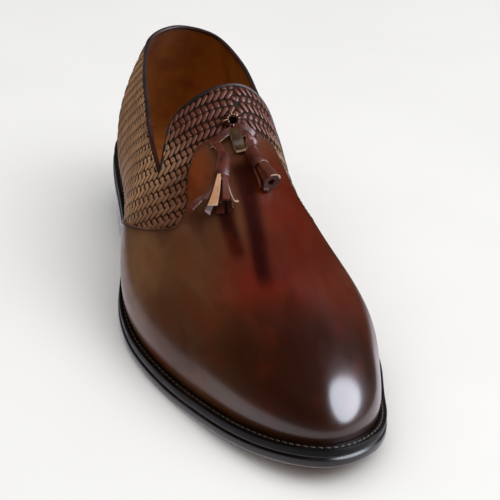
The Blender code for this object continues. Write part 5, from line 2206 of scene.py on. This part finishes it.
@dataclass
class TasselSet:
    """Two tassels and the thong that ties them on, lying on the instep."""

    last: Last
    finishes: Finishes
    top_radius: float = 2.6
    cap_radius: float = 3.9
    radius: float = 5.2
    cap_share: float = 0.46
    neck: float = 3
    lift: float = 0.6
    strip_thickness: float = 1
    strip_points: int = 16
    turn_points: int = 44
    # How far strips start inside the cap, the play of the skirt, powers of flare and splay, and flattening
    strip_tuck: float = 0.7
    skirt_play: float = 0.1
    flare_power: float = 0.8
    splay_power: float = 1.7
    strip_flattening: float = 0.12
    # Height and pace of a strip's wave, the turn from which it lies underneath, and its width at the end
    strip_wave: Pair = (0.25, 5)
    underneath_from: float = 200
    end_width: float = 1.05
    # The medial roll: rows, how far it starts inside the cap's radius and length, power of its flare,
    # how far it passes the tassel's end, and its depth
    roll_rows: int = 9
    roll_tuck: float = 0.5
    roll_overlap: float = 1.2
    roll_power: float = 0.7
    roll_excess: float = 0.8
    roll_depth: float = 2.7
    thong_thickness: float = 1.2
    lateral: tuple[Pair, Pair] = ((-82.6, 0.872), (-71.2, 0.768))
    medial: tuple[Pair, Pair] = ((82, 0.985), (74.5, 0.93))
    # Centre of the gathered hole, its size, and the folds that run out of it
    hole: Pair = (-91.6, 0.957)
    hole_size: Pair = (2.7, 1.8)
    folds: int = 13
    fold_reach: float = 6.2
    # Rings of the hole: lift, share of its size
    hole_rings: tuple[Pair, ...] = ((-0.6, 1.2), (0.7, 1.15), (0.8, 0.9))
    # A fold's radius at the hole and what it loses, and its lift there, its fall and the power of that
    fold_radius: Pair = (0.95, 0.35)
    fold_lift: Triple = (2, 2.2, 1.3)
    # Folds whose crests carry a painted highlight, and the radius and the points of a crest
    glint_folds: tuple[int, ...] = (1, 2, 3, 4, 5, 6, 7)
    crest_radius: float = 0.22
    crest_points: int = 5
    lateral_strips: tuple[Strip, ...] = (
        Strip(270, 2, (0, 0), 3.4), Strip(222, 1, (-2.4, 0), 3.2), Strip(318, 2.5, (1.8, 0), 3.2),
        Strip(90, 3.5, (0, -0.4), 3.2, 0.35), Strip(20, 4, (3.8, 0.2), 2.2, 1, 0, 1),
        Strip(52, 3.4, (1.2, 0.3), 3.2), Strip(174, 2.4, (-8.4, -0.6), 4.4, 1, 0, 0, 0.6, 0.85),
        Strip(140, 4.2, (-2.4, 0.3), 2.8), Strip(100, -0.6, (-0.8, 0.9), 4.2, 1, 2, 1, 0.4),
    )
    medial_strips: tuple[Strip, ...] = (
        Strip(250, -1.6, (-0.8, -0.2), 3.2), Strip(200, -0.6, (-1.6, 0), 3), Strip(310, 0.6, (1, 0), 3),
    )
    thongs: tuple[Thong, ...] = (
        Thong(5, 0, ((-90.4, 0.955, 0.2), (-89, 0.954, 2.5), (-87, 0.957, 2.7), (-85.2, 0.962, 1.7),
                     (-83.9, 0.966, 2.3))),
        Thong(3.4, 3, ((-89.6, 0.943, 1.5), (-89, 0.91, 2.6), (-88.4, 0.872, 2.4), (-88.1, 0.845, 1.4),
                       (-88.4, 0.828, 0.1))),
        Thong(3.4, 3, ((-88.9, 0.842, 0.4), (-87.6, 0.852, 2.2), (-86, 0.866, 3.2), (-84.2, 0.868, 3.4),
                       (-82, 0.874, 3.2))),
        Thong(3, 3, ((-89.6, 0.958, 1.6), (-89.8, 0.984, 2.5), (89.2, 0.974, 2.6), (88.2, 0.944, 2),
                     (87.9, 0.926, 0.2))),
        Thong(2.8, 3, ((-88, 0.968, 1.2), (88.4, 0.998, 2.3), (86.9, 0.966, 2.5), (86, 0.94, 1.6),
                       (85.8, 0.92, 0.2))),
        Thong(3.4, 3, ((88.2, 0.955, 0.6), (86.6, 0.978, 2.4), (84.6, 0.986, 3), (81.4, 0.984, 3.2))),
    )

    def on_vamp(self, angle: Any, rise: Any, lift: Any) -> tuple[Array, Array]:
        """Reads places on the vamp's outer face.

        Args:
            angle: Column angles.
            rise: Rises up the columns.
            lift: Distances off the face.

        Returns:
            Points and directions out of the vamp.
        """
        out = self.last.outward(angle, rise)
        lift = np.asarray(lift, dtype=float)[..., None] + VAMP_WALL + CLEARANCE
        return self.last.point(angle, rise) + out * lift, out

    def stand(self, places: tuple[Pair, Pair]) -> Stand:
        """Lays a tassel on the vamp.

        Args:
            places: Angle and rise of its top and of its end.

        Returns:
            Where it lies.
        """
        top, out_top = self.on_vamp(*places[0], self.top_radius + self.lift)
        end, out_end = self.on_vamp(*places[1], self.radius)
        along = unit(end - top)
        across = unit(np.cross(out_top + out_end, along))
        axes = np.stack([across, np.cross(along, across), along])
        return Stand(top, axes, float(np.linalg.norm(end - top)))

    def build(self) -> list[Piece]:
        """Builds and dresses the tassels and their tie.

        Returns:
            The pieces.
        """
        pieces = [self.lateral_tassel(), self.medial_tassel(), self.tie()]
        for piece, node in zip(pieces, ("tassel_lateral", "tassel_medial", "tassel_tie")):
            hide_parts(node)
        return pieces

    def roll(self, data: MeshData, stand: Stand, turns: float, start: float, rows: Sequence[Triple],
             leather: float, pale: Pair) -> None:
        """Adds a band of leather rolled round the tassel.

        Args:
            data: Where it goes.
            stand: Where the tassel lies.
            turns: Number of turns.
            start: Angle in radians where it starts.
            rows: Distance along the tassel, outer radius and inner radius of the roll at each row.
            leather: Thickness of the band.
            pale: Angles in degrees between which the outer turn's far edge shows the pale cut edge; kept to
                that side, it is partly a painted highlight.
        """
        steps = int(self.turn_points * turns)
        turn = start + np.linspace(0, turns * 2 * math.pi, steps)
        layers = []
        for along, high, low in rows:
            radius = np.linspace(low, high, steps)
            ring = [radius * np.cos(turn), radius * np.sin(turn), np.full(steps, along)]
            layers.append(np.stack(ring, axis=-1))
        outer = np.stack(layers, axis=1)
        inner = outer.copy()
        size = np.linalg.norm(outer[..., :2], axis=-1)
        inner[..., :2] *= (np.maximum(size - leather, 0.2) / size)[..., None]
        quad = sheet(steps, len(rows))
        local, faces = shell(outer, inner, quad)
        slots = [0] * (2 * len(quad))
        for face in faces[2 * len(quad):]:
            middle = local[list(face)].mean(axis=0)
            angle = math.degrees(math.atan2(middle[1], middle[0]))
            # The far edge takes the pale cut edge only on one side: partly a painted highlight
            far = middle[2] > rows[-1][0] - 0.1 and np.linalg.norm(middle[:2]) > rows[-1][1] - 1.2
            slots.append(1 if far and pale[0] < angle < pale[1] else 0)
        data.add(stand.place(local), faces, slots)

    def cap(self, data: MeshData, stand: Stand, pale: Pair) -> float:
        """Adds the wound cap, from its narrow neck to its rim.

        Args:
            data: Where it goes.
            stand: Where the tassel lies.
            pale: Angles in degrees between which the rim shows the pale cut edge; kept to that side, it is
                partly a painted highlight.

        Returns:
            Length of the cap.
        """
        length = stand.length * self.cap_share
        rows = ((-self.neck, 0.62), (-self.neck + 0.4, 0.7), (0, 0.86), (0.45 * length, 0.96),
                (length - 0.4, 1.06), (length, 1))
        rows = [(along, self.cap_radius * share, self.cap_radius * share - 1.3) for along, share in rows]
        self.roll(data, stand, turns=2.2, start=2, rows=rows, leather=0.8, pale=pale)
        return length

    def strip(self, data: MeshData, stand: Stand, strip: Strip, start: float) -> None:
        """Adds one cut strip of a skirt.

        Args:
            data: Where it goes.
            stand: Where the tassel lies.
            strip: How it lies.
            start: Distance along the tassel where it leaves the cap.
        """
        count = self.strip_points
        share = np.linspace(0, 1, count)
        a = math.radians(strip.turn)
        flare = (self.radius - self.cap_radius - self.skirt_play) * share ** self.flare_power
        radius = (self.cap_radius - self.strip_tuck + flare) * strip.depth
        bend = share ** self.splay_power
        height, pace = self.strip_wave
        x = radius * math.cos(a) + strip.splay[0] * bend
        y = radius * math.sin(a) * (1 - self.strip_flattening * share) + strip.splay[1] * bend
        y = y + height * np.sin(share * pace + a)
        z = start + (stand.length - strip.cut - start) * share
        path = stand.place(np.stack([x, y, z], axis=-1))
        lean = np.full(count, a)
        if strip.turn < self.underneath_from:
            lean = a + (math.radians(90) - a) * strip.lean * share
        facing = np.stack([np.cos(lean), np.sin(lean), np.zeros(count)], axis=-1)
        out = unit(stand.place(facing) - stand.place(np.zeros((count, 3))))
        width = strip.width * (strip.waist + (self.end_width - strip.waist) * share)
        points, faces, slots = ribbon(path, out, width, self.strip_thickness)
        data.add(points, faces, [strip.slot if s == 0 else strip.edge for s in slots])

    def lateral_tassel(self) -> Piece:
        """Makes the lateral tassel: loose strips, one splayed outwards and one rubbed tan.

        Returns:
            The tassel.
        """
        stand, data = self.stand(self.lateral), MeshData()
        cap = self.cap(data, stand, pale=(20, 140))
        for strip in self.lateral_strips:
            self.strip(data, stand, strip, cap - 2)
        materials = [self.finishes.tassel, self.finishes.cut, self.finishes.tan_strip]
        return data.make("tassel_lateral_looks", materials)

    def medial_tassel(self) -> Piece:
        """Makes the medial tassel, whose strips lie together as one roll.

        Returns:
            The tassel.
        """
        stand, data = self.stand(self.medial), MeshData()
        cap = self.cap(data, stand, pale=(30, 120))
        rows = []
        flare = self.radius - self.cap_radius + self.skirt_play
        length = stand.length + self.roll_excess - cap + self.roll_overlap
        for share in np.linspace(0, 1, self.roll_rows):
            outer = self.cap_radius - self.roll_tuck + flare * share ** self.roll_power
            rows.append((cap - self.roll_overlap + length * share, outer, outer - self.roll_depth))
        self.roll(data, stand, turns=2.5, start=-0.9, rows=rows, leather=0.85, pale=(20, 110))
        for strip in self.medial_strips:
            self.strip(data, stand, strip, cap - 1)
        return data.make("tassel_medial_looks", [self.finishes.tassel, self.finishes.cut])

    def tie(self) -> Piece:
        """Makes the thong's runs and the gathered hole that they come out of.

        Returns:
            The tie.
        """
        data = MeshData()
        for thong in self.thongs:
            knots, outs = self.on_vamp(*table(thong.places))
            at = along_path(knots)
            fine = np.linspace(0, at[-1], 36)
            path = np.stack([flowing(at, knots[:, k], fine) for k in range(3)], axis=-1)
            out = unit(carried(knots, outs, fine))
            points, faces, slots = ribbon(path, out, thong.width, self.thong_thickness)
            data.add(points, faces, [thong.slot if s == 0 else 1 for s in slots])
        self.gather(data)
        materials = [self.finishes.thong, self.finishes.cut, self.finishes.hole, self.finishes.tassel]
        return data.make("tassel_tie_looks", materials)

    def gather(self, data: MeshData) -> None:
        """Adds the dark hole and the small folds that the pull of the thong makes round it.

        Args:
            data: Where they go.
        """
        centre, out = self.on_vamp(*self.hole, 0)
        side = unit(np.cross(np.cross(out, np.array([1, 0, 0])), out))
        back = np.cross(out, side)
        turn = np.linspace(0, 2 * math.pi, 20, endpoint=False)
        rings = [centre + out * lift + size * (side * (self.hole_size[0] * np.cos(turn))[:, None]
                                               + back * (self.hole_size[1] * np.sin(turn))[:, None])
                 for lift, size in self.hole_rings]
        data.add(*loft(rings, Caps.FLAT), slot=2)
        share = np.linspace(0, 1, 8)
        size = self.fold_radius[0] - self.fold_radius[1] * share
        high, fall, power = self.fold_lift
        lift = high - fall * share ** power
        facing = np.tile(out, (len(share), 1))
        start = self.hole_size[1] + 0.4
        for number in range(self.folds):
            angle = 2 * math.pi * (number + 0.5) / self.folds
            run = side * math.cos(angle) + back * math.sin(angle)
            far = self.fold_reach * (0.78 + 0.22 * math.sin(number * 2.4))
            reach = start + (far - start) * share
            path = centre + run * reach[:, None] + out * lift[:, None]
            data.add(*tube(path, facing, size, size * 0.8, sides=8), slot=3)
            # A thin pale tube along the crest: painted highlight
            if number in self.glint_folds:
                crest = (path + out * (size - 0.1)[:, None])[:self.crest_points]
                crest_out = facing[:self.crest_points]
                data.add(*tube(crest, crest_out, self.crest_radius, self.crest_radius, sides=6), slot=1)


class Lamp(NamedTuple):
    """One soft box: its place, the point it faces and its size in millimetres, and what it does.

    The glow is the brightness of its face, where a lit white floor is about one.
    """

    name: str
    place: Triple
    aim: Triple
    size: Pair
    glow: float
    beam: Beam
    colour: str = "FFFFFF"


@dataclass
class Studio:
    """Pale floor, soft lights and the camera at the photograph's angle."""

    plan: Plan
    finishes: Finishes
    azimuth: float = -17
    elevation: float = 23.1
    roll: float = 4
    distance: float = 646.7
    shift: Pair = (-6.04, -85.06)
    pivot: Triple = (0, -80, 20)
    focal_px: float = 884.7
    centre_px: Pair = (246.6, 240.1)
    shoe_px: Pair = (226, 296)
    zoom: float = 1.72
    frame_px: float = 500
    sensor: float = 36
    clip: Pair = (0.01, 50)
    floor_reach: float = 20000
    sky: str = "F6F7FA"
    sky_strength: float = 0.1
    lamps: tuple[Lamp, ...] = (
        Lamp("soft_box_top", (0, -60, 7000), (0, -60, 0), (16000, 16000), 1.2, Beam.SOFT),
        Lamp("soft_box_front", (560, -500, 1100), (0, -60, 30), (900, 900), 1.9, Beam.SOFT),
        Lamp("card_toe", (590, -470, 480), (12, -136, 32), (1250, 1200), 1, Beam.CARD, "DCE8FF"),
        Lamp("card_toe_core", (605, -425, 425), (12, -136, 32), (930, 1080), 8.5, Beam.CARD, "EAF2FF"),
        Lamp("card_floor", (0, -30, 1), (0, -30, 500), (218, 480), 0.85, Beam.CARD, "F6F1FA"),
        Lamp("card_back", (0, 1600, 380), (0, 0, 60), (2600, 700), 0.4, Beam.CARD),
    )

    def build(self) -> None:
        """Sets up floor, lights, surroundings and camera."""
        self.floor()
        for lamp in self.lamps:
            self.light(lamp)
        self.surroundings()
        self.camera()

    def camera(self) -> None:
        """Stands the camera where the photograph was taken from, aimed at the one shoe."""
        a, e, r = (math.radians(v) for v in (self.azimuth, self.elevation, self.roll))
        back = Vector((math.sin(a) * math.cos(e), -math.cos(a) * math.cos(e), math.sin(e)))
        level = Vector((math.cos(a), math.sin(a), 0))
        upright = back.cross(level)
        right = math.cos(r) * level + math.sin(r) * upright
        up = math.cos(r) * upright - math.sin(r) * level
        place = Vector(self.pivot) + back * self.distance - right * self.shift[0] - up * self.shift[1]
        place.x -= self.plan.width_centre
        sideways = (self.shoe_px[0] - self.centre_px[0]) / self.focal_px
        downwards = (self.shoe_px[1] - self.centre_px[1]) / self.focal_px
        back = (back - right * sideways + up * downwards).normalized()
        right = (right - back * right.dot(back)).normalized()
        up = back.cross(right)
        data = bpy.data.cameras.new("camera")
        data.sensor_width = self.sensor
        data.lens = self.focal_px * self.zoom / self.frame_px * self.sensor
        data.clip_start, data.clip_end = self.clip
        camera = show(bpy.data.objects.new("camera", data))
        camera.matrix_world = Matrix.Translation(place * MM) @ Matrix((right, up, back)).transposed().to_4x4()
        bpy.context.scene.camera = camera

    def floor(self) -> None:
        """Lays a wide floor."""
        corners = np.array([(-1, -1, 0), (1, -1, 0), (1, 1, 0), (-1, 1, 0)]) * self.floor_reach
        floor = solid("floor", (corners, [(0, 1, 2, 3)]), [self.finishes.floor], turn=False)
        # The polished leather mirrors the cards alone
        floor.visible_glossy = False
        floor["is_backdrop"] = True

    def light(self, lamp: Lamp) -> None:
        """Hangs one soft box.

        Args:
            lamp: The soft box.
        """
        card = lamp.beam is Beam.CARD
        data = bpy.data.lights.new(lamp.name, "AREA")
        data.shape = "ELLIPSE" if card else "RECTANGLE"
        data.size, data.size_y = lamp.size[0] * MM, lamp.size[1] * MM
        # Power of an even face: its brightness times its area times pi
        data.energy = lamp.glow * math.pi * data.size * data.size_y * (math.pi / 4 if card else 1)
        data.color = linear(lamp.colour)[:3]
        light = show(bpy.data.objects.new(lamp.name, data))
        light.location = Vector(lamp.place) * MM
        light.rotation_euler = (Vector(lamp.aim) - Vector(lamp.place)).to_track_quat("-Z", "Y").to_euler()
        light.visible_camera = False
        light.visible_glossy = card
        light.visible_diffuse = not card

    def surroundings(self) -> None:
        """Sets pale surroundings that gloss doesn't mirror."""
        world = bpy.data.worlds.new("studio")
        bpy.context.scene.world = world
        world.use_nodes = True
        sky = world.node_tree.nodes["Background"]
        sky.inputs["Color"].default_value = linear(self.sky)
        sky.inputs["Strength"].default_value = self.sky_strength
        world.cycles_visibility.glossy = False
        bpy.context.scene.view_settings.view_transform = "Standard"


def main() -> None:
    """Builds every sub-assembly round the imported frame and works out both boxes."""
    logging.basicConfig(level=logging.INFO, format="%(name)s: %(message)s")
    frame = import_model()
    LOG.info("%d nodes in the frame", len(frame["nodes"]))
    cad_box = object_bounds()
    plan = Plan()
    last = Last(plan)
    finishes = Finishes()
    grains = Grains()
    Studio(plan, finishes).build()
    shoe = (last, grains, finishes)
    for assembly in (Sole(*shoe), Heel(*shoe), Upper(*shoe), TasselSet(last, finishes)):
        for piece in assembly.build():
            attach(piece, BODY)
            piece.data.calc_loop_triangles()
            LOG.info("%s: %d triangles", piece.name, len(piece.data.loop_triangles))
    boxes = {"cad": cad_box, "visual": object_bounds()}
    boxes = {name: [list(corner) for corner in box] for name, box in boxes.items()}


if __name__ == "__main__":
    main()
